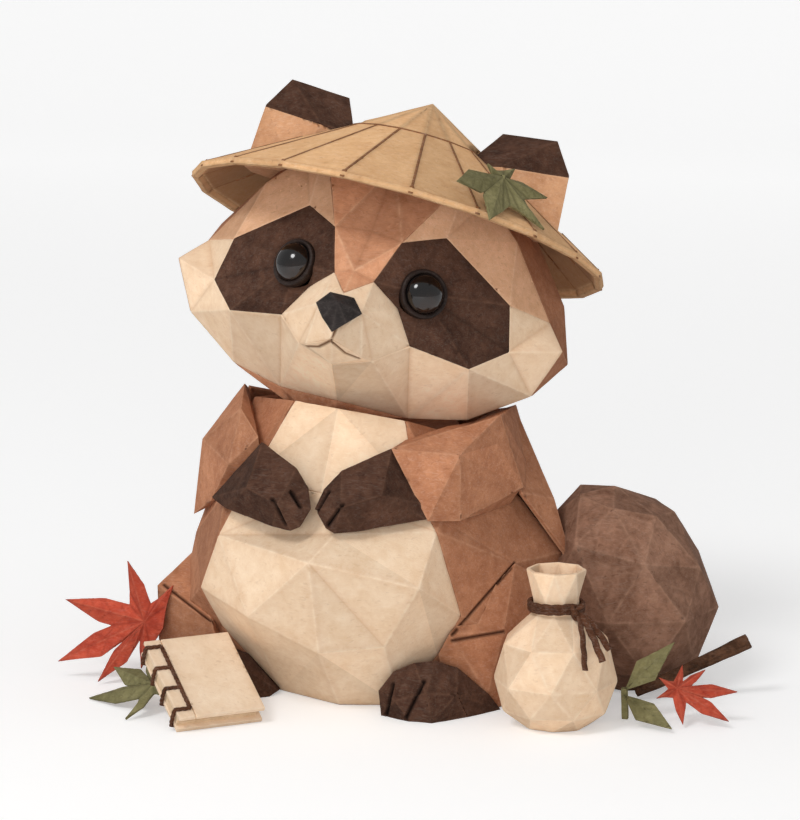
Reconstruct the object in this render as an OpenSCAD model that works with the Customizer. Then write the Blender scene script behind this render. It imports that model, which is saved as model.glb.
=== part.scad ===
// Folded-paper tanuki: a sitting raccoon dog in a straw hat, with its ledger,
// its pouch and autumn leaves. Millimetres, +Z up, the face looks along -Y.
// The origin is the middle of the body's underside, on the ground.

/* [Paper] */
// Thickness of the folded paper
paper_t = 0.8; // [0.6:0.05:1]
// Thickness of the leaves' paper
leaf_t = 0.5; // [0.4:0.05:0.7]
// Gap left where a loose piece rests on another
seat_gap = 0.3; // [0.2:0.05:0.4]

/* [Body] */
// Width of the body across the hips
body_w = 80; // [74:1:86]
// Reach of the belly in front of the origin
body_reach = 38; // [35:0.5:41]
// Height of the chest's upper edge
body_h = 53; // [51:0.5:54]

/* [Head] */
// Width of the head across the cheeks
head_w = 77; // [74:0.5:84]
// Reach of the nose in front of the middle of the head
head_reach = 29; // [27:0.5:31]
// Rise of the crown above the middle of the head
head_rise = 27.5; // [26:0.5:29]
// Height of the middle of the head above the top of the body
head_lift = 24.6; // [22:0.2:27]
// Sideways tilt of the head
head_roll = 12; // [10:0.5:16]
// Backward tilt of the head
head_pitch = 20; // [16:0.5:24]
// Turn of the head on the neck
head_yaw = 3; // [0:0.5:6]
// Diameter of the bead eyes
eye_d = 7.6; // [6.5:0.1:8.5]

/* [Neck] */
// Diameter of the rolled paper neck
neck_d = 9; // [8:0.5:10]
// Width of the head's flat seat on the neck
neck_seat_w = 18; // [16:0.5:20]
// Radial play between the neck and the head's base
neck_play = 0.08; // [0.05:0.01:0.1]

/* [Hat] */
// Width of the hat across its rim
hat_w = 82.6; // [81:0.5:88]
// Height of the hat's cone
hat_h = 25.8; // [24:0.5:28]
// Width of the folded rim
hat_rim_w = 1.8; // [1.4:0.1:2.4]
// Height of the hat's rim above the middle of the head
hat_lift = 13.8; // [13.5:0.5:16]
// Gap round the ears in the hat's slots
ear_gap = 0.6; // [0.4:0.1:1]

/* [Ears] */
// Height of the ears above the middle of the head
ear_h = 37; // [34:0.5:39]
// Width of an ear
ear_w = 20; // [18:0.5:21]
// Depth of an ear from front to back
ear_d = 8; // [6:0.5:10]

/* [Pouch] */
// Width of the pouch
bag_w = 23; // [21:0.2:23.6]
// Height of the pouch
bag_h = 29.4; // [28:0.2:31]
// Width of the pouch's neck under the tie
bag_neck_w = 8.8; // [8:0.2:10]
// Width of the pouch's mouth
bag_mouth_w = 11.3; // [10:0.2:13]
// Thickness of the tie
bag_tie_t = 1.3; // [1:0.1:1.6]

/* [Ledger] */
// Width of the ledger
book_w = 17; // [16:0.2:18]
// Height of the ledger
book_h = 20.8; // [19:0.2:21.6]
// Thickness of a cover
book_cover_t = 0.8; // [0.6:0.05:1]
// Thickness of the block of pages
book_pages_t = 2; // [1.6:0.1:2.4]
// Width of the stitched spine strip
book_spine_w = 3.2; // [2.6:0.1:4]
// Backward lean of the ledger from upright
book_lean = 60; // [55:1:60]

/* [Tail] */
// Width of the tail
tail_w = 35; // [32:0.5:36]
// Height of the tail
tail_h = 39; // [38:0.5:42]

/* [Leaves] */
// Reach of the big red leaf's longest lobe
red_leaf_r = 20; // [18:0.5:21]
// Reach of the green leaf beside the ledger
green_leaf_r = 17; // [15:0.5:18]
// Reach of the leaf on the hat
hat_leaf_r = 16; // [14:0.5:16.5]
// Reach of the small red leaf
small_leaf_r = 11.5; // [10:0.5:12.5]
// Length of a pointed green leaf
blade_leaf_len = 13; // [11:0.5:14]
// Length of the twig
twig_len = 24; // [22:0.5:25]

/* [Hidden] */
head_z = body_h + head_lift;

brown_paper = [0.69, 0.46, 0.33];
tan_paper = [0.82, 0.63, 0.49];
cream_paper = [0.91, 0.82, 0.67];
dark_paper = [0.33, 0.23, 0.18];
tail_paper = [0.40, 0.29, 0.23];
straw_paper = [0.87, 0.67, 0.44];
black_paper = [0.15, 0.13, 0.13];
cover_paper = [0.92, 0.82, 0.71];
red_paper = [0.78, 0.31, 0.24];
green_paper = [0.47, 0.47, 0.31];
cord_brown = [0.39, 0.24, 0.16];

// Turns of a point about the three axes, in the order that rotate() uses
function turn_x(p, a) = [p.x, p.y * cos(a) - p.z * sin(a), p.y * sin(a) + p.z * cos(a)];
function turn_y(p, a) = [p.x * cos(a) + p.z * sin(a), p.y, p.z * cos(a) - p.x * sin(a)];
function turn_z(p, a) = [p.x * cos(a) - p.y * sin(a), p.x * sin(a) + p.y * cos(a), p.z];
function flipped(p) = [-p.x, p.y, p.z];
function sum_of(v, i = 0) = i == len(v) - 1 ? v[i] : v[i] + sum_of(v, i + 1);
function joined(lists) = [for (l = lists) for (x = l) x];

// A row of shares [across, forward, up] becomes a point of a form of the given half sizes
function placed(shares, size) = [for (s = shares) [s.x * size.x, -s.y * size.y, s.z * size.z]];

// Twice the area of a face times its normal
function face_cross(p, f) = cross(p[f[1]] - p[f[0]], p[f[2]] - p[f[0]]);
// The face with its corners in the order that makes it look away from the point c
function outward(p, f, c) =
    face_cross(p, f) * (p[f[0]] + p[f[1]] + p[f[2]] - 3 * c) < 0 ? [f[0], f[2], f[1]] : f;
function all_outward(p, faces, c) = [for (f = faces) outward(p, f, c)];
// The outward direction at each corner, from the faces that meet there
function corner_normals(p, faces) = [for (i = [0:len(p) - 1])
    let (n = [for (f = faces) if (f[0] == i || f[1] == i || f[2] == i)
        let (c = face_cross(p, f)) c / pow(norm(c), 0.5)])
    len(n) == 0 ? [0, 0, 1] : let (s = sum_of(n)) s / norm(s)];

function has_edge(faces, a, b) = len([for (f = faces)
    if ((f[0] == a && f[1] == b) || (f[1] == a && f[2] == b) || (f[2] == a && f[0] == b)) 1]) > 0;
function edges_of(faces) = [for (f = faces) for (k = [0:2]) [f[k], f[(k + 1) % 3]]];

// One folded sheet: the given faces of a form, with the paper's thickness laid inwards
module sheet_of(p, normals, faces, t) {
    n = len(p);
    rim = [for (e = edges_of(faces)) if (!has_edge(faces, e[1], e[0])) e];
    inner = [for (i = [0:n - 1]) p[i] - t * normals[i]];
    walls = [for (e = rim) each e[0] < e[1]
        ? [[e[0], e[1], e[1] + n], [e[0], e[1] + n, e[0] + n]]
        : [[e[0], e[1], e[0] + n], [e[1], e[1] + n, e[0] + n]]];
    polyhedron(
        points = concat(p, inner),
        faces = concat(
            [for (f = faces) [f[0], f[2], f[1]]],
            [for (f = faces) [f[0] + n, f[1] + n, f[2] + n]],
            walls),
        convexity = 6);
}

// A closed solid bounded by the given faces
module solid_of(p, faces) {
    polyhedron(points = p, faces = [for (f = faces) [f[0], f[2], f[1]]], convexity = 6);
}

// The smallest folded form that has all the given points as corners or inside
module form_of(p) {
    hull() polyhedron(points = p, faces = [for (i = [1:len(p) - 2]) [0, i, i + 1]]);
}

// Body: the points of the closed paper form that the coloured sheets divide.
// Rows are [across, forward, up] as shares of half the width, of the reach and of the height.
body_middle_shares = [
    [0, 0.51, 1.07],       // 0 chest, upper edge under the chin
    [-0.03, 0.71, 0.79],   // 1 chest, between the paws
    [0.08, 0.87, 0.67],    // 2 belly, upper fold
    [-0.01, 1.00, 0.585],  // 3 belly, foremost node
    [0, 0.87, 0.24],       // 4 belly, lower fold
    [0.02, 0.585, 0],      // 5 belly, on the ground
    [0, -0.45, 0.98],      // 6 back, at the collar
    [0, -0.66, 0.755],     // 7 back, upper
    [0, -0.82, 0.51],      // 8 back, middle
    [0, -0.82, 0.23],      // 9 back, lower
    [0, -0.66, 0],         // 10 back, on the ground
    [0, 0, 0]];            // 11 middle of the base
body_front_right_shares = [
    [0.315, 0.46, 1.03],   // 12 chest corner at the collar
    [0.39, 0.58, 0.79],    // 13 chest, low corner
    [0.52, 0.685, 0.67],   // 14 belly, upper corner
    [0.49, 0.895, 0.50],   // 15 belly, side node
    [0.615, 0.58, 0.355],  // 16 belly, widest
    [0.49, 0.525, 0.20],   // 17 belly, low corner
    [0.30, 0.80, 0.265],   // 18 belly, low node
    [0.30, 0.52, 0]];      // 19 belly, on the ground
body_front_left_shares = [
    [-0.225, 0.46, 1.085], // 20 chest corner at the collar
    [-0.41, 0.59, 0.82],   // 21 chest, low corner
    [-0.55, 0.66, 0.61],   // 22 belly, upper corner
    [-0.335, 0.895, 0.36], // 23 belly, side node
    [-0.66, 0.605, 0.405], // 24 belly, widest
    [-0.60, 0.46, 0.24],   // 25 belly, low corner
    [-0.325, 0.395, 0]];   // 26 belly, on the ground
body_collar_right_shares = [
    [0.55, 0.03, 0.915],   // 27 collar, side
    [0.35, -0.34, 0.95]];  // 28 collar, behind
body_collar_left_shares = [
    [-0.55, 0.05, 1.04],   // 29 collar, side
    [-0.35, -0.32, 1.02]]; // 30 collar, behind
body_side_right_shares = [
    [0.55, 0.53, 0.755],   // 31 under the sleeve, front
    [0.75, 0.10, 0.755],   // 32 under the sleeve, side
    [0.50, -0.53, 0.755],  // 33 shoulder blade
    [0.81, 0.33, 0.515],   // 34 flank, front
    [0.975, 0, 0.51],      // 35 flank, side
    [0.625, -0.63, 0.51],  // 36 flank, behind
    [0.82, 0.34, 0.23],    // 37 hip, front
    [0.985, 0, 0.23],      // 38 hip, side
    [0.65, -0.66, 0.23],   // 39 hip, behind
    [0.65, 0.34, 0],       // 40 foot of the hip, front
    [0.825, 0, 0],         // 41 foot of the hip, side
    [0.55, -0.53, 0]];     // 42 foot of the hip, behind
body_side_left_shares = [
    [-0.55, 0.53, 0.755],  // 43 under the sleeve, front
    [-0.73, 0.06, 0.755],  // 44 under the sleeve, side
    [-0.50, -0.53, 0.755], // 45 shoulder blade
    [-0.835, 0.13, 0.525], // 46 flank, front
    [-0.84, -0.16, 0.51],  // 47 flank, side
    [-0.625, -0.63, 0.51], // 48 flank, behind
    [-0.90, 0.18, 0.23],   // 49 hip, front
    [-0.90, -0.12, 0.23],  // 50 hip, side
    [-0.65, -0.66, 0.23],  // 51 hip, behind
    [-0.65, 0.24, 0],      // 52 foot of the hip, front
    [-0.80, -0.05, 0],     // 53 foot of the hip, side
    [-0.55, -0.53, 0]];    // 54 foot of the hip, behind

// Head: its middle, and a point of its own frame in the frame of the whole object, and back
head_x_share = 0.03;
head_forward_share = 0.08;
head_size = [head_w / 2, head_reach, head_rise];
head_at = [body_w * head_x_share, -body_reach * head_forward_share, head_z];
function head_point(p) = head_at + turn_z(turn_y(turn_x(p, -head_pitch), head_roll), head_yaw);
function in_head(p) = turn_x(turn_y(turn_z(p - head_at, -head_yaw), -head_roll), head_pitch);

// Neck: where the head's own middle line meets the shoulders
neck_foot_shares = [0, -0.25, -0.92];
neck_foot = head_point(placed([neck_foot_shares], head_size)[0]);
neck_plate_share = 0.885;
neck_hole_share = 0.84;
neck_collar_w = 18;
neck_plate_z = body_h * neck_plate_share;
body_size = [body_w / 2, body_reach, body_h];
neck_ring_n = 8;
body_points = concat(
    placed(body_middle_shares, body_size),
    placed(body_front_right_shares, body_size),
    placed(body_front_left_shares, body_size),
    placed(body_collar_right_shares, body_size),
    placed(body_collar_left_shares, body_size),
    placed(body_side_right_shares, body_size),
    placed(body_side_left_shares, body_size),
    [for (i = [0:neck_ring_n - 1]) [
        neck_foot.x + neck_collar_w / 2 * sin(i * 360 / neck_ring_n),
        neck_foot.y - neck_collar_w / 2 * cos(i * 360 / neck_ring_n),
        neck_plate_z]],
    [[neck_foot.x, neck_foot.y, neck_plate_z]]);
body_middle = [0, 0, body_h / 2];
side_r = 31;
side_l = 43;
ring_0 = 55;

// Faces down one flank: chest corner a, chest low b, belly upper d, widest e, low g, ground h,
// collar c, and s, the first of the side's own points
function flank_faces(a, b, d, e, g, h, c, s) = all_outward(body_points, [
    [a, b, s], [b, d, s], [a, s, c], [s, s + 1, c], [d, e, s + 3], [d, s + 3, s],
    [s, s + 3, s + 1], [s + 3, s + 4, s + 1], [e, g, s + 6], [e, s + 6, s + 3],
    [s + 3, s + 6, s + 4], [s + 6, s + 7, s + 4], [g, h, s + 9], [g, s + 9, s + 6],
    [s + 6, s + 9, s + 7], [s + 9, s + 10, s + 7]], body_middle);
function back_faces(c, k, s) = [
    [c, s + 1, k], [s + 1, s + 2, k], [k, s + 2, 6], [s + 2, 7, 6], [s + 1, s + 4, s + 2],
    [s + 4, s + 5, s + 2], [s + 2, s + 5, 7], [s + 5, 8, 7], [s + 4, s + 7, s + 8],
    [s + 4, s + 8, s + 5], [s + 5, s + 8, 8], [s + 8, 9, 8], [s + 7, s + 10, s + 11],
    [s + 7, s + 11, s + 8], [s + 8, s + 11, 9], [s + 11, 10, 9]];
chest_faces = all_outward(body_points, [[0, 1, 13], [0, 13, 12], [0, 1, 21], [0, 21, 20]],
    body_middle);
belly_faces = all_outward(body_points, [
    [1, 2, 14], [1, 14, 13], [2, 3, 15], [2, 15, 14], [14, 15, 16], [15, 18, 17], [15, 17, 16],
    [3, 4, 18], [3, 18, 15], [4, 5, 19], [4, 19, 18], [18, 19, 17], [1, 21, 22], [1, 22, 2],
    [2, 22, 3], [22, 23, 3], [22, 24, 23], [24, 25, 23], [3, 23, 4], [23, 25, 26], [23, 26, 4],
    [4, 26, 5]], body_middle);
flank_right_faces = flank_faces(12, 13, 14, 16, 17, 19, 27, side_r);
flank_left_faces = flank_faces(20, 21, 22, 24, 25, 26, 29, side_l);
body_back_faces = all_outward(body_points,
    concat(back_faces(27, 28, side_r), back_faces(29, 30, side_l)), body_middle);
collar_rim = [0, 12, 27, 28, 6, 30, 29, 20];
below = [0, 0, -20 * body_h];
collar_faces = all_outward(body_points, joined([for (i = [0:neck_ring_n - 1])
    let (j = (i + 1) % neck_ring_n)
    [[collar_rim[i], ring_0 + i, ring_0 + j], [collar_rim[i], ring_0 + j, collar_rim[j]]]]), below);
neck_plate_faces = all_outward(body_points, [for (i = [0:neck_ring_n - 1])
    [ring_0 + neck_ring_n, ring_0 + i, ring_0 + (i + 1) % neck_ring_n]], below);
base_rim = [5, 19, side_r + 9, side_r + 10, side_r + 11, 10, side_l + 11, side_l + 10, side_l + 9, 26];
base_faces = all_outward(body_points, [for (i = [0:len(base_rim) - 1])
    [11, base_rim[i], base_rim[(i + 1) % len(base_rim)]]], body_middle);
body_faces = concat(chest_faces, belly_faces, flank_right_faces, flank_left_faces, body_back_faces,
    collar_faces, neck_plate_faces, base_faces);
body_normals = corner_normals(body_points, body_faces);

module body_sheet(faces) {
    sheet_of(body_points, body_normals, faces, paper_t);
}

module body_solid() {
    solid_of(body_points, body_faces);
}

// Head: rows are [across, forward, up] as shares of half the width, the reach and the rise
head_middle_shares = [
    [0, -0.29, 0.98],      // 0 crown
    [0, 0.375, 0.78],      // 1 forehead under the hat
    [0, 0.57, 0.26],       // 2 forehead, middle fold
    [0, 0.79, -0.07],      // 3 top of the bridge
    [0, 0.93, -0.26],      // 4 top of the nose
    [0, 0.92, -0.48],      // 5 under the nose
    [0, 0.90, -0.57],      // 6 mouth
    [0, 0.66, -0.70],      // 7 chin, front
    [0, 0.15, -0.86],      // 8 chin, underside
    [0, -0.80, -0.44],     // 9 back of the head, low
    [0, -1.00, 0.04],      // 10 back of the head
    [0, -0.88, 0.66]];     // 11 back of the crown
head_side_shares = [
    [0.10, 0.73, -0.10],   // 0 side of the bridge
    [0.105, 0.88, -0.35],  // 1 beside the nose
    [0.14, 0.74, -0.62],   // 2 corner of the mouth
    [0.225, 0.57, -0.21],  // 3 muzzle, upper corner
    [0.325, 0.54, -0.435], // 4 muzzle, outer corner
    [0.185, 0.66, -0.615], // 5 muzzle, low corner
    [0.17, 0.65, 0.22],    // 6 mask, inner corner
    [0.35, 0.46, 0.36],    // 7 mask, top
    [0.71, 0.23, 0.055],   // 8 mask, under the brow
    [0.76, 0.17, -0.25],   // 9 mask, outer corner
    [0.61, 0.35, -0.46],   // 10 mask, low corner
    [0.325, 0.56, -0.07],  // 11 eye
    [0.37, 0.34, 0.88],    // 12 brow, inner end, under the hat
    [0.47, 0.20, 0.74],    // 13 brow, top
    [0.65, 0.10, 0.52],    // 14 brow, side
    [0.89, -0.10, 0.065],  // 15 brow, outer end
    [1.00, 0, -0.13],      // 16 tip of the cheek
    [0.89, -0.15, -0.46],  // 17 cheek, low
    [0.61, -0.17, -0.73],  // 18 jaw, outer
    [0.33, -0.08, -0.83],  // 19 jaw, inner
    [1.01, -0.33, -0.15],  // 20 behind the cheek
    [0.86, -0.50, -0.36],  // 21 behind the jaw
    [0.91, -0.42, 0.26],   // 22 temple
    [0.58, -0.29, 0.90],   // 23 crown, side
    [0.48, -0.79, 0.61],   // 24 back of the crown, side
    [0.70, -0.83, 0.04],   // 25 back of the head, side
    [0.46, -0.68, -0.43]]; // 26 back of the head, low side
head_side_n = len(head_side_shares);
head_r = len(head_middle_shares);
head_l = head_r + head_side_n;
head_ring_n = 12;
head_ring_0 = head_l + head_side_n;

// Hat, in the head's frame: its axis stands hat_back behind the middle of the head
hat_back_share = 0.31;
hat_back = head_reach * hat_back_share;
hat_t = 1;
hat_slope = atan(hat_h / (hat_w / 2));
hat_t_up = hat_t / cos(hat_slope);
hat_t_out = hat_t / sin(hat_slope);
function hat_inside_z(p) = hat_lift
    + (hat_h - hat_t_up) * (1 - norm([p.x, p.y - hat_back]) / (hat_w / 2 - hat_t_out));
// Four corners of the crown carry the hat, just under the inside of its cone
hat_seats = [12, 23];
head_side_points = [for (i = [0:head_side_n - 1])
    let (p = placed([head_side_shares[i]], head_size)[0])
    len(search(i, hat_seats)) > 0 ? [p.x, p.y, hat_inside_z(p) - seat_gap] : p];
head_form = concat(placed(head_middle_shares, head_size), head_side_points,
    [for (p = head_side_points) flipped(p)]);
// The head ends in a flat ring, level with the ground, low in its underside
head_seat_share = 0.858;
head_seat_z = head_z - head_rise * head_seat_share;
head_points = concat(head_form,
    [for (i = [0:head_ring_n - 1]) in_head([
        neck_foot.x + neck_seat_w / 2 * sin(i * 360 / head_ring_n),
        neck_foot.y - neck_seat_w / 2 * cos(i * 360 / head_ring_n),
        head_seat_z])],
    [in_head([neck_foot.x, neck_foot.y, head_seat_z])]);
head_middle = [0, 0, 0];

function forehead_side(s) = [[1, 2, s + 6], [1, s + 6, s + 12], [2, 3, s + 6], [3, s, s + 6], [3, 4, s]];
function muzzle_side(s) = [
    [4, s, s + 1], [4, s + 1, 5], [s, s + 1, s + 3], [s + 1, s + 3, s + 4], [s + 1, s + 4, s + 5],
    [s + 1, s + 5, s + 2], [s + 1, s + 2, 6], [s + 1, 5, 6]];
function chin_side(s) = [[6, s + 2, 7], [s + 2, s + 5, 7]];
function cheek_side(s) = [
    [s + 5, 7, 8], [s + 5, 8, s + 19], [s + 5, s + 4, s + 19], [s + 4, s + 19, s + 10],
    [s + 19, s + 18, s + 10], [s + 10, s + 18, s + 17], [s + 10, s + 17, s + 9],
    [s + 9, s + 17, s + 16], [s + 9, s + 16, s + 15], [s + 8, s + 9, s + 15]];
function mask_side(s) = let (rim = [s + 6, s, s + 3, s + 4, s + 10, s + 9, s + 8, s + 7])
    [for (i = [0:len(rim) - 1]) [s + 11, rim[i], rim[(i + 1) % len(rim)]]];
function brow_side(s) = [
    [s + 12, s + 6, s + 7], [s + 12, s + 7, s + 13], [s + 13, s + 7, s + 14],
    [s + 7, s + 8, s + 14], [s + 14, s + 8, s + 15]];
function crown_side(s) = [
    [s + 13, s + 14, s + 23], [s + 14, s + 22, s + 23], [s + 14, s + 15, s + 22],
    [s + 15, s + 16, s + 20], [s + 15, s + 20, s + 22], [s + 16, s + 17, s + 20],
    [s + 17, s + 21, s + 20], [0, 1, s + 12], [0, s + 12, s + 13], [0, s + 13, s + 23],
    [0, s + 23, s + 24], [0, s + 24, 11], [11, s + 24, 10], [s + 24, s + 25, 10],
    [s + 23, s + 22, s + 24], [s + 22, s + 25, s + 24], [s + 22, s + 20, s + 25],
    [s + 20, s + 21, s + 25], [s + 21, s + 26, s + 25], [s + 25, s + 26, 10], [s + 26, 9, 10]];
jaw_rim = [8, head_r + 19, head_r + 18, head_r + 17, head_r + 21, head_r + 26, 9,
    head_l + 26, head_l + 21, head_l + 17, head_l + 18, head_l + 19];
underside_faces = all_outward(head_points, joined([for (i = [0:head_ring_n - 1])
    let (j = (i + 1) % head_ring_n, a = head_ring_0 + i, b = head_ring_0 + j)
    i < head_ring_n / 2
        ? [[jaw_rim[i], a, b], [jaw_rim[i], b, jaw_rim[j]]]
        : [[jaw_rim[j], b, a], [jaw_rim[j], a, jaw_rim[i]]]]), [0, 0, head_rise]);
seat_faces = all_outward(head_points, [for (i = [0:head_ring_n - 1])
    [head_ring_0 + head_ring_n, head_ring_0 + i, head_ring_0 + (i + 1) % head_ring_n]], head_middle);
function head_faced(faces) = all_outward(head_points, faces, head_middle);
forehead_faces = head_faced(concat(forehead_side(head_r), forehead_side(head_l)));
muzzle_faces = head_faced(concat(muzzle_side(head_r), muzzle_side(head_l)));
chin_faces = head_faced(concat(chin_side(head_r), chin_side(head_l)));
crown_faces = head_faced(concat(crown_side(head_r), crown_side(head_l)));
cheek_right_faces = head_faced(cheek_side(head_r));
cheek_left_faces = head_faced(cheek_side(head_l));
mask_right_faces = head_faced(mask_side(head_r));
mask_left_faces = head_faced(mask_side(head_l));
brow_right_faces = head_faced(brow_side(head_r));
brow_left_faces = head_faced(brow_side(head_l));
head_faces = concat(forehead_faces, muzzle_faces, chin_faces, crown_faces, cheek_right_faces,
    cheek_left_faces, mask_right_faces, mask_left_faces, brow_right_faces, brow_left_faces,
    underside_faces);
head_normals = corner_normals(head_points, head_faces);

module head_place() {
    translate(head_at) rotate([-head_pitch, head_roll, head_yaw]) children();
}

module head_sheet(faces) {
    head_place() sheet_of(head_points, head_normals, faces, paper_t);
}

// The head as if it were filled, in its own frame
module head_solid() {
    solid_of(head_points, concat(head_faces, seat_faces));
}

module belly() { color(cream_paper) body_sheet(belly_faces); }
module chest() { color(cream_paper) body_sheet(chest_faces); }
module flank_left() { color(brown_paper) body_sheet(flank_left_faces); }
module flank_right() { color(brown_paper) body_sheet(flank_right_faces); }
module body_back() { color(brown_paper) body_sheet(body_back_faces); }
module coat_collar() {
    color(brown_paper) difference() {
        body_sheet(collar_faces);
        body_sheet(flank_left_faces);
        body_sheet(flank_right_faces);
        body_sheet(body_back_faces);
    }
}

module neck_plate() { color(brown_paper) body_sheet(neck_plate_faces); }
module body_base() { color(brown_paper) body_sheet(base_faces); }

// Coat: the back sheet hangs from the collar and flares clear of the hips
coat_middle_shares = [
    [0, -0.50, 0.985],     // 0 collar, behind
    [0, -0.80, 0.74],      // 1 back, upper
    [0, -1.00, 0.47]];     // 2 hem, behind
coat_right_shares = [
    [0.37, -0.40, 0.955],  // 3 collar, behind the shoulder
    [0.71, -0.14, 1.02],   // 4 shoulder
    [0.57, -0.62, 0.74],   // 5 shoulder blade
    [0.94, 0.02, 0.71],    // 6 side
    [0.72, -0.72, 0.48],   // 7 hem, side
    [1.03, 0.04, 0.495]];  // 8 hem, front corner
coat_left_shares = [
    [-0.37, -0.40, 0.985], // 9 collar, behind the shoulder
    [-0.625, -0.10, 1.06], // 10 shoulder
    [-0.57, -0.62, 0.74],  // 11 shoulder blade
    [-0.78, -0.08, 0.70],  // 12 side
    [-0.70, -0.72, 0.47],  // 13 hem, side
    [-0.88, -0.17, 0.47]]; // 14 hem, front corner
coat_flap_shares = [
    [0.825, 0.225, 0.757]]; // 15 right flap, its corner under the sleeve
coat_points = placed(concat(coat_middle_shares, coat_right_shares, coat_left_shares, coat_flap_shares),
    body_size);
function coat_side(s) = [[0, s, 1], [s, s + 2, 1], [s, s + 1, s + 2], [s + 1, s + 3, s + 2],
    [1, s + 2, 2], [s + 2, s + 4, 2], [s + 2, s + 3, s + 5], [s + 2, s + 5, s + 4]];
coat_faces = all_outward(coat_points, concat(coat_side(3), coat_side(9), [[4, 15, 6], [6, 15, 8]]), body_middle);
coat_normals = corner_normals(coat_points, coat_faces);

module coat_sheet() {
    sheet_of(coat_points, coat_normals, coat_faces, paper_t);
}

// The coat's back and all that lies under it
module coat_solid() {
    form_of(coat_points);
    coat_sheet();
}

module coat_back() {
    color(brown_paper) difference() {
        coat_sheet();
        body_solid();
    }
}

// Sleeves: one folded form a side, cut where it lies on the body and the coat
sleeve_right_shares = [
    [0.71, -0.16, 1.025], [0.74, 0.32, 1.05], [0.62, 0.63, 0.94], [0.325, 0.47, 0.965],
    [0.31, 0.71, 0.96], [0.485, 0.71, 0.71], [0.62, 0.63, 0.705], [0.83, 0.21, 0.775],
    [0.74, 0.37, 0.95], [0.85, -0.16, 0.70], [0.40, 0.47, 0.77], [0.60, 0.05, 0.75],
    [0.55, 0.03, 0.93]];
sleeve_left_shares = [
    [0.60, 0.05, 1.085], [0.785, 0.16, 0.885], [0.825, 0.185, 0.605], [0.68, 0.37, 0.685],
    [0.535, 0.53, 0.85], [0.365, 0.605, 0.965], [0.49, 0.47, 1.045], [0.775, -0.08, 0.68],
    [0.625, -0.10, 1.05], [0.375, 0.47, 0.79], [0.60, 0, 0.72]];

module sleeve_form(side) {
    shares = side > 0 ? sleeve_right_shares : sleeve_left_shares;
    mirror([side > 0 ? 0 : 1, 0, 0]) form_of(placed(shares, body_size));
}

// Room for the low corner of the tilted head as it turns over the right sleeve
sweep_r_share = 0.327;
sweep_drop_share = 0.062;
sweep_rise_share = 0.18;
module head_sweep() {
    translate([neck_foot.x, neck_foot.y, head_seat_z - head_rise * sweep_drop_share])
        cylinder(r1 = head_w * sweep_r_share, r2 = head_w * 1.5 * sweep_r_share,
            h = head_rise * sweep_rise_share, $fn = 72);
}

module sleeve(side) {
    color(brown_paper) difference() {
        sleeve_form(side);
        body_solid();
        coat_solid();
        if (side > 0) head_sweep();
    }
}

module sleeve_left() { sleeve(-1); }
module sleeve_right() { sleeve(1); }

// Paws: dark folded forms that lie on the belly and go into the cuffs
paw_shares = [
    [0.009, 0.895, 0.76], [0.06, 0.90, 0.695], [0.105, 0.91, 0.68], [0.20, 0.88, 0.685],
    [0.31, 0.815, 0.71], [0.49, 0.70, 0.715], [0.61, 0.53, 0.725], [0.315, 0.66, 0.955],
    [0.108, 0.79, 0.885], [0.037, 0.84, 0.825], [0.15, 0.97, 0.78], [0.325, 0.88, 0.82],
    [0.20, 0.58, 0.87], [0.40, 0.53, 0.76], [0.15, 0.74, 0.74]];
paw_middle_share = -0.015;

module paw(side) {
    color(dark_paper) difference() {
        translate([body_size.x * paw_middle_share, 0, 0])
            mirror([side > 0 ? 0 : 1, 0, 0]) form_of(placed(paw_shares, body_size));
        body_solid();
        sleeve_form(side);
    }
}

module paw_left() { paw(-1); }
module paw_right() { paw(1); }

// Thighs: folded forms in front of the hips
thigh_right_shares = [
    [0.82, 0.345, 0.517], [0.56, 0.59, 0.29], [0.505, 0.58, 0.21], [0.79, 0.45, 0.283],
    [0.725, 0.50, 0.062], [0.74, 0.47, 0], [0.55, 0.53, 0], [0.96, 0.16, 0.42],
    [1.0, 0.16, 0.06], [0.95, 0.05, 0], [0.50, 0.32, 0], [0.65, 0.21, 0.34], [0.70, 0.13, 0.45]];
thigh_left_shares = [
    [0.965, 0.345, 0.355], [0.64, 0.485, 0.25], [0.95, 0.33, 0.18], [0.96, 0.34, 0],
    [0.62, 0.485, 0], [0.60, 0.48, 0.15], [0.95, -0.05, 0.30], [0.95, -0.08, 0],
    [0.55, 0.20, 0], [0.70, 0.05, 0.34], [0.86, 0.08, 0.45]];

module thigh_form(side) {
    shares = side > 0 ? thigh_right_shares : thigh_left_shares;
    mirror([side > 0 ? 0 : 1, 0, 0]) form_of(placed(shares, body_size));
}

module thigh(side) {
    color(brown_paper) difference() {
        thigh_form(side);
        body_solid();
        coat_solid();
    }
}

module thigh_left() { thigh(-1); }
module thigh_right() { thigh(1); }

// Feet: dark folded forms that stick out from under the belly
foot_right_shares = [
    [0.253, 0.737, 0.094], [0.32, 0.71, 0.16], [0.417, 0.71, 0.198], [0.515, 0.685, 0.207],
    [0.607, 0.63, 0.177], [0.735, 0.525, 0.068], [0.262, 0.718, 0], [0.415, 0.79, 0],
    [0.525, 0.79, 0], [0.66, 0.64, 0], [0.78, 0.458, 0], [0.35, 0.80, 0.075],
    [0.50, 0.81, 0.11], [0.625, 0.71, 0.094], [0.30, 0.37, 0], [0.65, 0.26, 0],
    [0.50, 0.37, 0.13]];
foot_left_shares = [
    [0.465, 0.475, 0.145], [0.31, 0.475, 0.015], [0.34, 0.53, 0], [0.40, 0.553, 0.057],
    [0.575, 0.658, 0.183], [0.575, 0.71, 0], [0.725, 0.60, 0], [0.725, 0.56, 0.12],
    [0.625, 0.447, 0.17], [0.35, 0.26, 0], [0.675, 0.21, 0], [0.50, 0.26, 0.11]];

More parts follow.
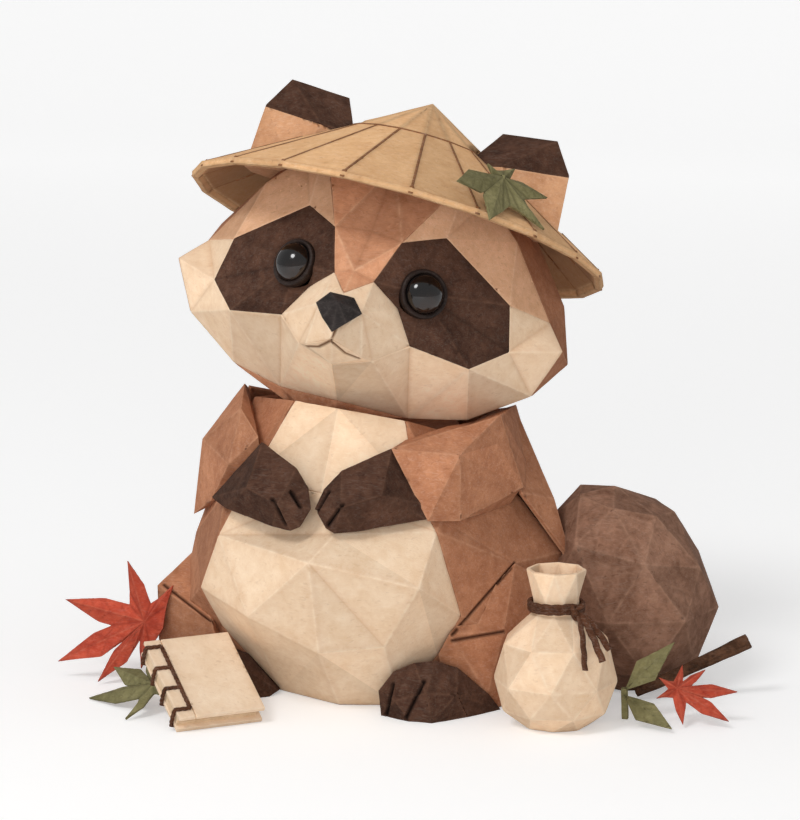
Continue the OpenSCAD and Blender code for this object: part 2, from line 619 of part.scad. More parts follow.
module foot(side) {
    shares = side > 0 ? foot_right_shares : foot_left_shares;
    color(dark_paper) difference() {
        mirror([side > 0 ? 0 : 1, 0, 0]) form_of(placed(shares, body_size));
        body_solid();
        thigh_form(side);
    }
}

module foot_left() { foot(-1); }
module foot_right() { foot(1); }

// Tail: a hollow folded ball beside the right hip, leaning to the back
tail_shares = [
    [0.40, 0.00, 0], [0.78, 0.12, 0.5], [1.00, 0.40, 0], [0.90, 0.72, 0.5], [0.55, 0.93, 0]];
tail_sides = 7;
tail_at = [body_w * 0.63, body_reach * 0.21, 0];
tail_depth_share = 0.92;
tail_lean_share = 0.10;
tail_points = concat(
    [for (s = tail_shares) for (i = [0:tail_sides - 1])
        let (a = (i + s[2]) * 360 / tail_sides + 10)
        tail_at + [
            tail_w / 2 * (s[0] * cos(a) - tail_lean_share * (s[1] - 0.5)),
            tail_w / 2 * tail_depth_share * s[0] * sin(a),
            tail_h * (s[1] - (s[1] > 0.5 ? tail_lean_share * s[0] * cos(a) : 0))]],
    [tail_at, tail_at + [-tail_w / 2 * tail_lean_share * 1.6, 0, tail_h]]);
tail_rings = len(tail_shares);
function ring_band(k, n) = joined([for (i = [0:n - 1]) let (j = (i + 1) % n, up = k % 2 == 0)
    up ? [[k * n + i, k * n + j, (k + 1) * n + i], [k * n + j, (k + 1) * n + i, (k + 1) * n + j]]
       : [[k * n + i, (k + 1) * n + i, (k + 1) * n + j], [k * n + i, k * n + j, (k + 1) * n + j]]]);
tail_faces = all_outward(tail_points, concat(
    joined([for (k = [0:tail_rings - 2]) ring_band(k, tail_sides)]),
    [for (i = [0:tail_sides - 1]) [tail_rings * tail_sides, i, (i + 1) % tail_sides]],
    [for (i = [0:tail_sides - 1]) let (b = (tail_rings - 1) * tail_sides)
        [tail_rings * tail_sides + 1, b + i, b + (i + 1) % tail_sides]]),
    tail_at + [0, 0, tail_h / 2]);

module tail() {
    n = corner_normals(tail_points, tail_faces);
    color(tail_paper) difference() {
        solid_of(tail_points, tail_faces);
        solid_of([for (i = [0:len(tail_points) - 1]) tail_points[i] - paper_t * n[i]], tail_faces);
        body_solid();
        coat_solid();
        thigh_form(1);
    }
}

// Neck: a rolled tube on the body, a spacer ring, and the head's flat base that turns on them
neck_run_gap = 0.1;
tie_gap = 0.05;
neck_top = head_seat_z + neck_d;

module neck_tube() {
    color(cream_paper) translate([neck_foot.x, neck_foot.y, neck_plate_z])
        difference() {
            cylinder(d = neck_d, h = neck_top - neck_plate_z, $fn = 48);
            translate([0, 0, paper_t])
                cylinder(d = neck_d - 2 * paper_t, h = neck_top - neck_plate_z, $fn = 48);
        }
}

module neck_washer() {
    h = head_seat_z - paper_t - neck_run_gap - neck_plate_z;
    color(cream_paper) translate([neck_foot.x, neck_foot.y, neck_plate_z])
        difference() {
            cylinder(d = neck_collar_w * neck_hole_share, h = h, $fn = 48);
            translate([0, 0, -h]) cylinder(d = neck_d, h = 3 * h, $fn = 48);
        }
}

module head_base() {
    color(cream_paper) translate([neck_foot.x, neck_foot.y, head_seat_z - paper_t])
        difference() {
            cylinder(d = neck_seat_w - 2 * tie_gap, h = paper_t, $fn = head_ring_n);
            translate([0, 0, -paper_t]) cylinder(d = neck_d + 2 * neck_play, h = 3 * paper_t, $fn = 48);
        }
}

module head_underside() { color(brown_paper) head_sheet(underside_faces); }
module crown() { color(brown_paper) head_sheet(crown_faces); }
module forehead() { color(brown_paper) head_sheet(forehead_faces); }
module brow_left() { color(tan_paper) head_sheet(brow_left_faces); }
module brow_right() { color(tan_paper) head_sheet(brow_right_faces); }
module cheek_left() { color(cream_paper) head_sheet(cheek_left_faces); }
module cheek_right() { color(cream_paper) head_sheet(cheek_right_faces); }
module muzzle() { color(cream_paper) head_sheet(muzzle_faces); }
module chin() { color(cream_paper) head_sheet(chin_faces); }

// Eyes: a bead in a dark ring, set square to the mask where its folds meet
eye_ring_w = 0.8;
eye_ring_t = 1.6;
eye_sink_share = 0.10;

module eye_place(s) {
    i = s + 11;
    n = head_normals[i];
    head_place() translate(head_points[i]) rotate([0, acos(n.z), atan2(n.y, n.x)]) children();
}

module mask(s, faces) {
    color(dark_paper) difference() {
        head_sheet(faces);
        eye_place(s) cylinder(d = eye_d + 2 * eye_ring_w, h = 4 * eye_ring_t, center = true, $fn = 48);
    }
}

module eye(s) {
    color(black_paper) eye_place(s) translate([0, 0, eye_d * eye_sink_share]) sphere(d = eye_d, $fn = 48);
}

module eye_ring(s) {
    color(black_paper) eye_place(s) translate([0, 0, -eye_ring_t / 2])
        difference() {
            cylinder(d = eye_d + 2 * eye_ring_w, h = eye_ring_t, $fn = 48);
            translate([0, 0, -eye_ring_t]) cylinder(d = eye_d, h = 3 * eye_ring_t, $fn = 48);
        }
}

module mask_left() { mask(head_l, mask_left_faces); }
module mask_right() { mask(head_r, mask_right_faces); }
module eye_left() { eye(head_l); }
module eye_right() { eye(head_r); }
module eye_ring_left() { eye_ring(head_l); }
module eye_ring_right() { eye_ring(head_r); }

// Nose: a folded dark form on the front of the muzzle
nose_shares = [
    [0.06, 0.95, -0.275], [-0.06, 0.95, -0.275], [0.115, 0.935, -0.365], [-0.115, 0.935, -0.365],
    [0, 1.04, -0.34], [0.06, 0.98, -0.46], [-0.06, 0.98, -0.46], [0, 0.955, -0.535],
    [0, 0.80, -0.35], [0.05, 0.80, -0.40], [-0.05, 0.80, -0.40]];

module nose() {
    color(black_paper) head_place() difference() {
        form_of(placed(nose_shares, head_size));
        head_solid();
    }
}

// Ears: folded forms on the crown; the part above the split is dark
ear_shares = [
    [0.54, 0.15, 0.98], [-0.58, -0.30, 0.975], [-0.98, 0.38, 0.76], [-1.0, 0.30, 0.50],
    [-0.33, 0.60, 0.76], [-0.03, 0.60, 0.48], [0.92, 0.08, 0.82], [1.0, 0.08, 0.47],
    [0.09, -0.65, 0.88], [0.09, -0.75, 0.46], [0.80, -0.45, 0.65], [-0.87, -0.38, 0.71],
    [0.93, -0.38, 0.47], [-0.93, -0.30, 0.50]];
ear_slot_shares = [[-1.0, 0.40], [-0.30, 0.66], [0.05, 0.66], [1.0, 0.12], [1.0, -0.42],
    [0.55, -0.66], [0.05, -0.80], [-0.95, -0.45]];
ear_x_share = 0.555;
ear_back_share = 0.10;
ear_split_share = 0.77;
ear_split_tilt = 8.5;
ear_x = head_w / 2 * ear_x_share;
ear_back = head_reach * ear_back_share;

module ear_place(side) {
    translate([side * ear_x, ear_back, 0]) mirror([side > 0 ? 0 : 1, 0, 0]) children();
}

module ear_form(side) {
    head_place() difference() {
        ear_place(side) form_of(placed(ear_shares, [ear_w / 2, ear_d, ear_h]));
        head_solid();
    }
}

module ear_above(side) {
    head_place() ear_place(side) translate([0, 0, ear_h * ear_split_share]) rotate([0, -ear_split_tilt, 0])
        translate([-ear_w, -2 * ear_d, 0]) cube([2 * ear_w, 4 * ear_d, ear_h]);
}

module ear(side) {
    color(tan_paper) difference() {
        ear_form(side);
        ear_above(side);
    }
}

module ear_tip(side) {
    color(dark_paper) intersection() {
        ear_form(side);
        ear_above(side);
    }
}

module ear_left() { ear(-1); }
module ear_right() { ear(1); }
module ear_tip_left() { ear_tip(-1); }
module ear_tip_right() { ear_tip(1); }

// Hat: a cone with slots for the ears, and a rim folded round its edge
module hat_place() {
    head_place() translate([0, hat_back, hat_lift]) children();
}

module ear_slot(side) {
    head_place() ear_place(side) linear_extrude(height = 2 * ear_h)
        polygon([for (s = ear_slot_shares)
            [s.x * (ear_w / 2 + ear_gap), -s.y * (ear_d + ear_gap)]]);
}

module hat_cone() {
    color(straw_paper) difference() {
        hat_place() rotate_extrude($fn = 96) polygon([
            [0, hat_h], [0, hat_h - hat_t_up], [hat_w / 2 - hat_t_out, 0], [hat_w / 2, 0]]);
        ear_slot(-1);
        ear_slot(1);
    }
}

module hat_rim() {
    r = hat_w / 2;
    color(straw_paper) hat_place() rotate_extrude($fn = 96) polygon([
        [r - hat_t_out, 0], [r - hat_t_out * 0.6, -hat_rim_w * 0.6], [r, -hat_rim_w * 0.6],
        [r + hat_t * 0.3, 0]]);
}

// Leaves: one pleated sheet. Rows of tips are [angle, length share]
shoulder_turn = 13;
shoulder_share = 0.58;
notch_share = 0.42;
pleat_share = 0.05;
function leaf_points(tips, r, turn, notch) = let (n = len(tips)) concat([[0, 0, 0]], joined([for (i = [0:n - 1])
    let (a = tips[i][0], l = r * tips[i][1], q = tips[(i + 1) % n],
        b = i == n - 1 ? q[0] + 360 : q[0],
        m = r * notch * min(tips[i][1], q[1]))
    [
        [l * shoulder_share * cos(a - turn), l * shoulder_share * sin(a - turn),
            -r * pleat_share],
        [l * cos(a), l * sin(a), 0],
        [l * shoulder_share * cos(a + turn), l * shoulder_share * sin(a + turn),
            -r * pleat_share],
        [m * cos((a + b) / 2), m * sin((a + b) / 2), -r * pleat_share]]]));
function leaf_faces(n) = joined([for (i = [0:n - 1]) let (k = 4 * i + 1, next = i == n - 1 ? 1 : k + 4)
    [[0, k, k + 1], [0, k + 1, k + 2], [0, k + 2, k + 3], [0, k + 3, next]]]);

module leaf(tips, r, t, turn = shoulder_turn, notch = notch_share) {
    p = leaf_points(tips, r, turn, notch);
    f = all_outward(p, leaf_faces(len(tips)), [0, 0, -10 * r]);
    sheet_of(p, corner_normals(p, f), f, t);
}

hat_leaf_tips = [[1, 0.77], [41, 0.38], [155, 0.25], [206, 1.0], [240, 0.97], [312, 0.77]];
hat_leaf_shoulder = 16;
hat_leaf_notch = 0.50;
hat_leaf_turn = 51;
hat_leaf_tilt = 52;
hat_leaf_shares = [0.526, -0.690, 0.335];
stalk_w = 1.1;

module hat_leaf() {
    at = [hat_w / 2 * hat_leaf_shares.x, hat_w / 2 * hat_leaf_shares.y, hat_h * hat_leaf_shares.z];
    foot_z = hat_h * (1 - norm([at.x, at.y]) / (hat_w / 2)) + seat_gap + stalk_w * 0.7;
    color(green_paper) hat_place() {
        translate(at) rotate([hat_leaf_tilt, 0, hat_leaf_turn])
            leaf(hat_leaf_tips, hat_leaf_r, leaf_t, hat_leaf_shoulder, hat_leaf_notch);
        hull() {
            translate(at) cube(leaf_t, center = true);
            translate([at.x, at.y, foot_z]) cube(stalk_w, center = true);
        }
    }
}

// Pouch: rings of eight corners. Rows are [radius share, height share, twist]
bag_sides = 8;
bag_at = [body_w * 0.539, -body_reach * 0.635, 0];
bag_low_shares = [[0.55, 0, 0], [0.89, 0.11, 0.5], [1.00, 0.29, 0], [0.88, 0.54, 0.5]];
bag_tie_share = 0.725;
bag_band_share = 0.81;
bag_rows = concat(
    [for (s = bag_low_shares) [bag_w / 2 * s[0], bag_h * s[1], s[2]]],
    [[bag_neck_w / 2, bag_h * bag_tie_share, 0], [bag_neck_w / 2, bag_h * bag_band_share, 0.5],
     [bag_mouth_w / 2, bag_h, 0]]);
bag_points = concat(
    [for (s = bag_rows) for (i = [0:bag_sides - 1])
        let (a = (i + s[2]) * 360 / bag_sides + 8)
        bag_at + [s[0] * cos(a), s[0] * sin(a), s[1]]],
    [bag_at]);
bag_faces = all_outward(bag_points, concat(
    joined([for (k = [0:len(bag_rows) - 2]) ring_band(k, bag_sides)]),
    [for (i = [0:bag_sides - 1]) [len(bag_rows) * bag_sides, i, (i + 1) % bag_sides]]),
    bag_at + [0, 0, bag_h / 2]);
bag_neck_z = bag_h * (bag_tie_share + bag_band_share) / 2;
bag_knot_turn = -38;

module bag_pouch() {
    color(cream_paper) sheet_of(bag_points, corner_normals(bag_points, bag_faces), bag_faces, paper_t);
}

module bag_tie() {
    h = bag_h * (bag_band_share - bag_tie_share) - 2 * tie_gap;
    color(cord_brown) translate(bag_at + [0, 0, bag_neck_z]) rotate_extrude($fn = 48)
        translate([bag_neck_w / 2 + tie_gap, -h / 2]) square([bag_tie_t, h]);
}

// The tie's knot and its three short ends, down the pouch's shoulder
module tie_end(turn, reach, drop) {
    r0 = bag_neck_w / 2 + bag_tie_t + tie_gap;
    s = bag_tie_t * 0.55;
    hull() {
        translate([r0 + s, -s, -s]) cube(s * 1.6);
        rotate([0, 0, turn]) translate([r0 + reach, -s, -drop]) cube(s * 1.6);
    }
}

module bag_knot() {
    k = bag_tie_t * 1.5;
    r = bag_neck_w / 2 + bag_tie_t + tie_gap;
    color(cord_brown) translate(bag_at + [0, 0, bag_neck_z]) rotate([0, 0, bag_knot_turn]) {
        translate([r, -k / 2, -k / 2]) cube([k * 0.8, k, k]);
        tie_end(-14, bag_w * 0.28, bag_h * 0.34);
        tie_end(2, bag_w * 0.31, bag_h * 0.30);
        tie_end(16, bag_w * 0.27, bag_h * 0.24);
    }
}

// Ledger: x runs across it, y up its page and z out of its front cover
book_at = [-body_w * 0.285, -body_reach * 1.265, 0];
book_turn = 40.5;
book_t = 2 * book_cover_t + book_pages_t;
page_inset_share = 0.05;
fold_gap = 0.15;
thread_t = 0.5;
stitch_shares = [0.10, 0.37, 0.63, 0.90];

module book_place() {
    translate(book_at) rotate([0, 0, book_turn]) rotate([90 - book_lean, 0, 0]) children();
}

module book_cover_back() {
    color(cover_paper) book_place() cube([book_w, book_h, book_cover_t]);
}

module book_pages() {
    inset = book_w * page_inset_share;
    color(cover_paper) book_place() translate([0, inset, book_cover_t])
        cube([book_w - inset, book_h - 2 * inset, book_pages_t]);
}

module book_spine_strip() {
    color(cover_paper) book_place() translate([0, 0, book_cover_t + book_pages_t])
        cube([book_spine_w, book_h, book_cover_t]);
}

module book_cover_front() {
    color(cover_paper) book_place() translate([book_spine_w + fold_gap, 0, book_cover_t + book_pages_t])
        cube([book_w - book_spine_w - fold_gap, book_h, book_cover_t]);
}

module book_thread() {
    color(cord_brown) book_place() {
        for (s = stitch_shares)
            translate([-thread_t, s * book_h - thread_t / 2, -thread_t])
                difference() {
                    cube([book_spine_w * 0.85 + thread_t, thread_t, book_t + 2 * thread_t]);
                    translate([thread_t, -thread_t, thread_t])
                        cube([book_spine_w, 3 * thread_t, book_t]);
                }
        translate([book_spine_w * 0.85 - thread_t, stitch_shares[0] * book_h, book_t])
            cube([thread_t, book_h * (stitch_shares[3] - stitch_shares[0]), thread_t]);
    }
}

red_leaf_tips = [[58, 0.45], [118, 0.65], [172, 0.93], [209, 1.0], [238, 0.75], [276, 0.46]];
red_leaf_at = [-body_w * 0.50, -body_reach * 0.445, red_leaf_r * 0.62];
red_leaf_tilt = 67.7;
red_leaf_turn = -9.3;

module red_leaf() {
    color(red_paper) translate(red_leaf_at) rotate([red_leaf_tilt, 0, red_leaf_turn])
        leaf(red_leaf_tips, red_leaf_r, leaf_t);
}

green_leaf_tips = [[-75, 0.53], [-16, 0.27], [115, 0.30], [155, 0.78], [183, 1.0], [211, 1.0]];
green_leaf_at = [-body_w * 0.391, -body_reach * 0.965, green_leaf_r * 0.335];
green_leaf_tilt = 37;
green_leaf_turn = -46;

module green_leaf_left() {
    color(green_paper) translate(green_leaf_at) rotate([green_leaf_tilt, 0, green_leaf_turn])
        leaf(green_leaf_tips, green_leaf_r, leaf_t);
}

// A pointed leaf with a fold down its middle, along x
blade_w_share = 0.19;
blade_wide_share = 0.42;
module blade_leaf(length) {
    w = length * blade_w_share;
    m = length * blade_wide_share;
    p = [[0, 0, 0], [m, -w, -w / 3], [length, 0, 0], [m, w, -w / 3]];
    f = all_outward(p, [[0, 1, 2], [0, 2, 3]], [m, 0, -10 * length]);
    sheet_of(p, corner_normals(p, f), f, leaf_t);
}

cluster_shares = [0.688, 0.49, 0.107];
cluster_at = placed([cluster_shares], [body_w, body_reach, body_h])[0];

module green_leaves_right() {
    color(green_paper) {
        translate(cluster_at) rotate([0, 0, 26]) rotate([0, -43, 0]) rotate([60, 0, 0])
            blade_leaf(blade_leaf_len);
        translate(cluster_at + [0, -stalk_w / 2, -stalk_w / 2]) rotate([0, 0, -34]) rotate([0, 17, 0])
            rotate([30, 0, 0]) blade_leaf(blade_leaf_len);
        hull() {
            translate(cluster_at) cube(stalk_w, center = true);
            translate(cluster_at + [0, stalk_w, -cluster_at.z + stalk_w / 2]) cube(stalk_w, center = true);
        }
    }
}

small_leaf_tips = [[-79, 0.63], [-32, 1.0], [-1, 0.97], [38, 0.56], [81, 0.42], [150, 0.36], [209, 0.38]];
small_leaf_shares = [0.81, 0.468, 0.125];
small_leaf_at = placed([small_leaf_shares], [body_w, body_reach, body_h])[0];
small_leaf_tilt = 53;
small_leaf_turn = 7;

module small_red_leaf() {
    color(red_paper) translate(small_leaf_at) rotate([small_leaf_tilt, 0, small_leaf_turn])
        leaf(small_leaf_tips, small_leaf_r, leaf_t);
}

twig_d = 2.2;
twig_end_d = 3.4;
twig_rise = 24;
twig_turn = 20;
twig_shares = [0.68, 0.108];

module twig() {
    color(cord_brown) translate([body_w * twig_shares.x, -body_reach * twig_shares.y, twig_d * 0.6])
        rotate([0, 90 - twig_rise, twig_turn])
            cylinder(d1 = twig_d, d2 = twig_end_d, h = twig_len, $fn = 7);
}

belly();
chest();
flank_left();
flank_right();
body_back();
coat_collar();
neck_plate();
body_base();
coat_back();
sleeve_left();
sleeve_right();
paw_left();
paw_right();
thigh_left();
thigh_right();
foot_left();
foot_right();
tail();
neck_tube();
neck_washer();
head_base();
head_underside();
crown();
forehead();
brow_left();
brow_right();
mask_left();
mask_right();
cheek_left();
cheek_right();
muzzle();
chin();
nose();
eye_left();
eye_right();
eye_ring_left();
eye_ring_right();
ear_left();
ear_right();
ear_tip_left();
ear_tip_right();
hat_cone();
hat_rim();
hat_leaf();
bag_pouch();
bag_tie();
bag_knot();
book_cover_front();
book_spine_strip();
book_pages();
book_cover_back();
book_thread();
red_leaf();
green_leaf_left();
green_leaves_right();
small_red_leaf();
twig();
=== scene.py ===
# %% [markdown]
# # A folded-paper raccoon dog
# The figure is folded from stiff handmade paper: flat facets that meet at worn creases. Its
# measured solids are already in the frame, in metres, and stay where they are. This lesson
# dresses each one: the facets get softened creases, a slight ripple and a fibrous finish, and
# the small extras (hat ribs, stitches, tied cord, bark) are built where the solids are plain.

# %% Load the frame
import math
import bmesh
import bpy
import numpy as np
from mathutils import Matrix, Vector, noise
from mathutils.bvhtree import BVHTree


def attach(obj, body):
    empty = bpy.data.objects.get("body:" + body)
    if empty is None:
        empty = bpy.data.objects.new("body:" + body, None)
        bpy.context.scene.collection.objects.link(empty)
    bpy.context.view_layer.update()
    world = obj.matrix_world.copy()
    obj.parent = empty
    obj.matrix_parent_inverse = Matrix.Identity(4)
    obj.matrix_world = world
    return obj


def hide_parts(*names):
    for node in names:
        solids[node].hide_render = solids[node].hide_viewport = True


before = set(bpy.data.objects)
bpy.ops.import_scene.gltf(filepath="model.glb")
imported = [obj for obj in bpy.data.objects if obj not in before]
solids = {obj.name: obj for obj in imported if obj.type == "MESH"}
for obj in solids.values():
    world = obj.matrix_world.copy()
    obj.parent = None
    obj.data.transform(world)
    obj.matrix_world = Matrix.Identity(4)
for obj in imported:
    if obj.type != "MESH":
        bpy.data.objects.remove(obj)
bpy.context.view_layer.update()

MM = 0.001

# %% [markdown]
# The camera looks slightly down on the figure from its front left, far enough away that
# parallel folds stay nearly parallel. A place in the picture can then be turned back into a
# line of sight, which later puts the toes' slits and the mouth's line onto the paper.

# %% Camera
turn_deg = 15.0
rise_deg = 10.0
distance = 600 * MM
turn, rise = math.radians(turn_deg), math.radians(rise_deg)
sight_right = Vector((math.cos(turn), math.sin(turn), 0))
sight_back = Vector((math.sin(turn) * math.cos(rise), -math.cos(turn) * math.cos(rise), math.sin(rise)))
sight_up = sight_back.cross(sight_right)
target = 6.6 * MM * sight_right + 52.2 * MM * sight_up

picture_centre_px = (396.0, 340.0)
mm_per_picture_px = 0.6
frame_width_mm = 157.4
sensor_mm = 36.0

camera_data = bpy.data.cameras.new("camera")
camera_data.sensor_fit = "HORIZONTAL"
camera_data.sensor_width = sensor_mm
camera_data.lens = sensor_mm * distance / (frame_width_mm * MM)
camera_data.clip_start = 10 * MM
camera_data.clip_end = 20
camera = bpy.data.objects.new("camera", camera_data)
bpy.context.scene.collection.objects.link(camera)
camera.matrix_world = Matrix.Translation(target + distance * sight_back) @ Matrix(
    (sight_right, sight_up, sight_back)).transposed().to_4x4()
bpy.context.scene.camera = camera
print("lens %.1f mm" % camera_data.lens)


def line_of_sight(picture_px):
    """Start and direction of the line through a place in the picture."""
    eye = target + distance * sight_back
    across = (picture_px[0] - picture_centre_px[0]) * mm_per_picture_px * MM
    down = (picture_px[1] - picture_centre_px[1]) * mm_per_picture_px * MM
    return eye, (target + across * sight_right - down * sight_up - eye).normalized()

# %% [markdown]
# The ornament stands on a plain pale sweep: a floor that curves up behind it, so there is no
# horizon. More light would burn out the cream paper, so the sweep is made pale in another way:
# its material glows a little, and only for rays that come from the camera or a mirror.

# %% Pale sweep
def plain_material(name, colour, roughness):
    material = bpy.data.materials.new(name)
    material.use_nodes = True
    shader = material.node_tree.nodes["Principled BSDF"]
    shader.inputs["Base Color"].default_value = (*colour, 1)
    shader.inputs["Roughness"].default_value = roughness
    shader.inputs["Specular IOR Level"].default_value = 0.2
    return material


def sweep_mesh(half_width, front, back, radius, height):
    steps = 24
    line = [(-front, 0.0)] + [
        (back - radius + radius * math.sin(a), radius - radius * math.cos(a))
        for a in [math.radians(90 * i / steps) for i in range(steps + 1)]] + [(back, height)]
    mesh = bpy.data.meshes.new("sweep")
    points = [(x, y, z) for y, z in line for x in (-half_width, half_width)]
    faces = [(2 * i, 2 * i + 1, 2 * i + 3, 2 * i + 2) for i in range(len(line) - 1)]
    mesh.from_pydata(points, [], faces)
    mesh.polygons.foreach_set("use_smooth", [True] * len(faces))
    return mesh


sweep = bpy.data.objects.new(
    "sweep", sweep_mesh(half_width=3.0, front=3.0, back=2.2, radius=1.0, height=2.5))
bpy.context.scene.collection.objects.link(sweep)
floor_finish = plain_material("pale_sweep", colour=(0.80, 0.80, 0.80), roughness=0.9)
floor_nodes = floor_finish.node_tree.nodes
floor_links = floor_finish.node_tree.links
seen = floor_nodes.new("ShaderNodeLightPath")
seen_or_mirrored = floor_nodes.new("ShaderNodeMath")
seen_or_mirrored.operation = "MAXIMUM"
floor_links.new(seen.outputs["Is Camera Ray"], seen_or_mirrored.inputs[0])
floor_links.new(seen.outputs["Is Glossy Ray"], seen_or_mirrored.inputs[1])
floor_place = floor_nodes.new("ShaderNodeSeparateXYZ")
floor_links.new(floor_nodes.new("ShaderNodeTexCoord").outputs["Object"], floor_place.inputs[0])
farther = floor_nodes.new("ShaderNodeMapRange")
glow_near, glow_far, glow_depth = 0.33, 0.52, 1.0
for name, value in (("From Min", 0.0), ("From Max", glow_depth), ("To Min", glow_near), ("To Max", glow_far)):
    farther.inputs[name].default_value = value
floor_links.new(floor_place.outputs["Y"], farther.inputs["Value"])
floor_glow = floor_nodes.new("ShaderNodeMath")
floor_glow.operation = "MULTIPLY"
floor_links.new(farther.outputs["Result"], floor_glow.inputs[1])
floor_links.new(seen_or_mirrored.outputs[0], floor_glow.inputs[0])
floor_nodes["Principled BSDF"].inputs["Emission Color"].default_value = (1, 1, 1, 1)
floor_links.new(floor_glow.outputs[0], floor_nodes["Principled BSDF"].inputs["Emission Strength"])
sweep.data.materials.append(floor_finish)
print("sweep faces:", len(sweep.data.polygons))

# %% [markdown]
# A soft lamp from the upper left makes the folds readable and leaves a round glint in each
# bead eye. A broad one in front and the pale world fill the shadows under the hat. The broad
# one is kept out of reflections, so that the beads stay black.

# %% Lamps and world
def soft_lamp(name, place, aim, size, watts):
    data = bpy.data.lights.new(name, "AREA")
    data.shape = "DISK"
    data.size = size
    data.energy = watts
    lamp = bpy.data.objects.new(name, data)
    bpy.context.scene.collection.objects.link(lamp)
    way = Vector(place) - Vector(aim)
    facing = way.to_track_quat("Z", "Y").to_matrix().to_4x4()
    lamp.matrix_world = Matrix.Translation(Vector(place)) @ facing
    return lamp


middle = target.copy()
key_place = middle - 0.42 * sight_right + 0.62 * sight_up + 0.62 * sight_back
fill_place = middle - 0.12 * sight_right - 0.10 * sight_up + 1.15 * sight_back
soft_lamp("key", key_place, middle, size=0.30, watts=3.1)
soft_lamp("fill", fill_place, middle, size=0.80, watts=6.3).visible_glossy = False

world = bpy.data.worlds.new("studio")
world.use_nodes = True
world.node_tree.nodes["Background"].inputs["Color"].default_value = (1, 1, 1, 1)
world.node_tree.nodes["Background"].inputs["Strength"].default_value = 0.49
bpy.context.scene.world = world
bpy.context.scene.view_settings.view_transform = "Standard"
print("lamps placed", [tuple(round(c, 2) for c in key_place)])

# %% [markdown]
# Every finish is built from the same few shader nodes, so small helpers make them: a sum, a
# mix of two colours, a stretched range, a cloudy noise and a turned place to sample it at.

# %% Shader helpers
def painted(red, green, blue):
    """Screen colour, 0 to 255, as the linear colour a shader wants."""
    def linear(c):
        c = c / 255
        return c / 12.92 if c <= 0.04045 else ((c + 0.055) / 1.055) ** 2.4
    return tuple(linear(c) for c in (red, green, blue))


def socket_in(group, name, kind, value):
    socket = group.interface.new_socket(name, in_out="INPUT", socket_type=kind)
    socket.default_value = value
    return socket


def math_node(tree, operation, first, second=None, clamp=False):
    node = tree.nodes.new("ShaderNodeMath")
    node.operation = operation
    node.use_clamp = clamp
    for index, value in enumerate((first, second)):
        if value is None:
            continue
        if isinstance(value, (int, float)):
            node.inputs[index].default_value = value
        else:
            tree.links.new(value, node.inputs[index])
    return node.outputs[0]


def mix_colour(tree, factor, first, second, blend="MIX"):
    node = tree.nodes.new("ShaderNodeMix")
    node.data_type = "RGBA"
    node.blend_type = blend
    for socket, value in ((node.inputs[0], factor), (node.inputs[6], first), (node.inputs[7], second)):
        if isinstance(value, (int, float)):
            socket.default_value = value
        elif isinstance(value, tuple):
            socket.default_value = (*value[:3], 1)
        else:
            tree.links.new(value, socket)
    return node.outputs[2]


def spread(tree, value, low, high):
    node = tree.nodes.new("ShaderNodeMapRange")
    node.inputs["From Min"].default_value = low
    node.inputs["From Max"].default_value = high
    tree.links.new(value, node.inputs["Value"])
    return node.outputs[0]


def cloud(tree, place, patch_mm, detail=3.0, roughness=0.55, distortion=0.0):
    node = tree.nodes.new("ShaderNodeTexNoise")
    node.inputs["Scale"].default_value = 1 / (patch_mm * MM)
    node.inputs["Detail"].default_value = detail
    node.inputs["Roughness"].default_value = roughness
    node.inputs["Distortion"].default_value = distortion
    tree.links.new(place, node.inputs["Vector"])
    return node.outputs["Fac"]


def laid(tree, place, turn_xyz, stretch_xyz):
    node = tree.nodes.new("ShaderNodeMapping")
    node.inputs["Rotation"].default_value = [math.radians(a) for a in turn_xyz]
    node.inputs["Scale"].default_value = stretch_xyz
    tree.links.new(place, node.inputs["Vector"])
    return node.outputs[0]

# %% [markdown]
# Handmade paper is never one colour. Under a lens it has cloudy patches where the pulp is
# thicker, fine grain, long pale fibres and a few dark flecks. All of that is one shader node
# group, `handmade_paper`, so each sheet only names its two colours and how strong the rest is.

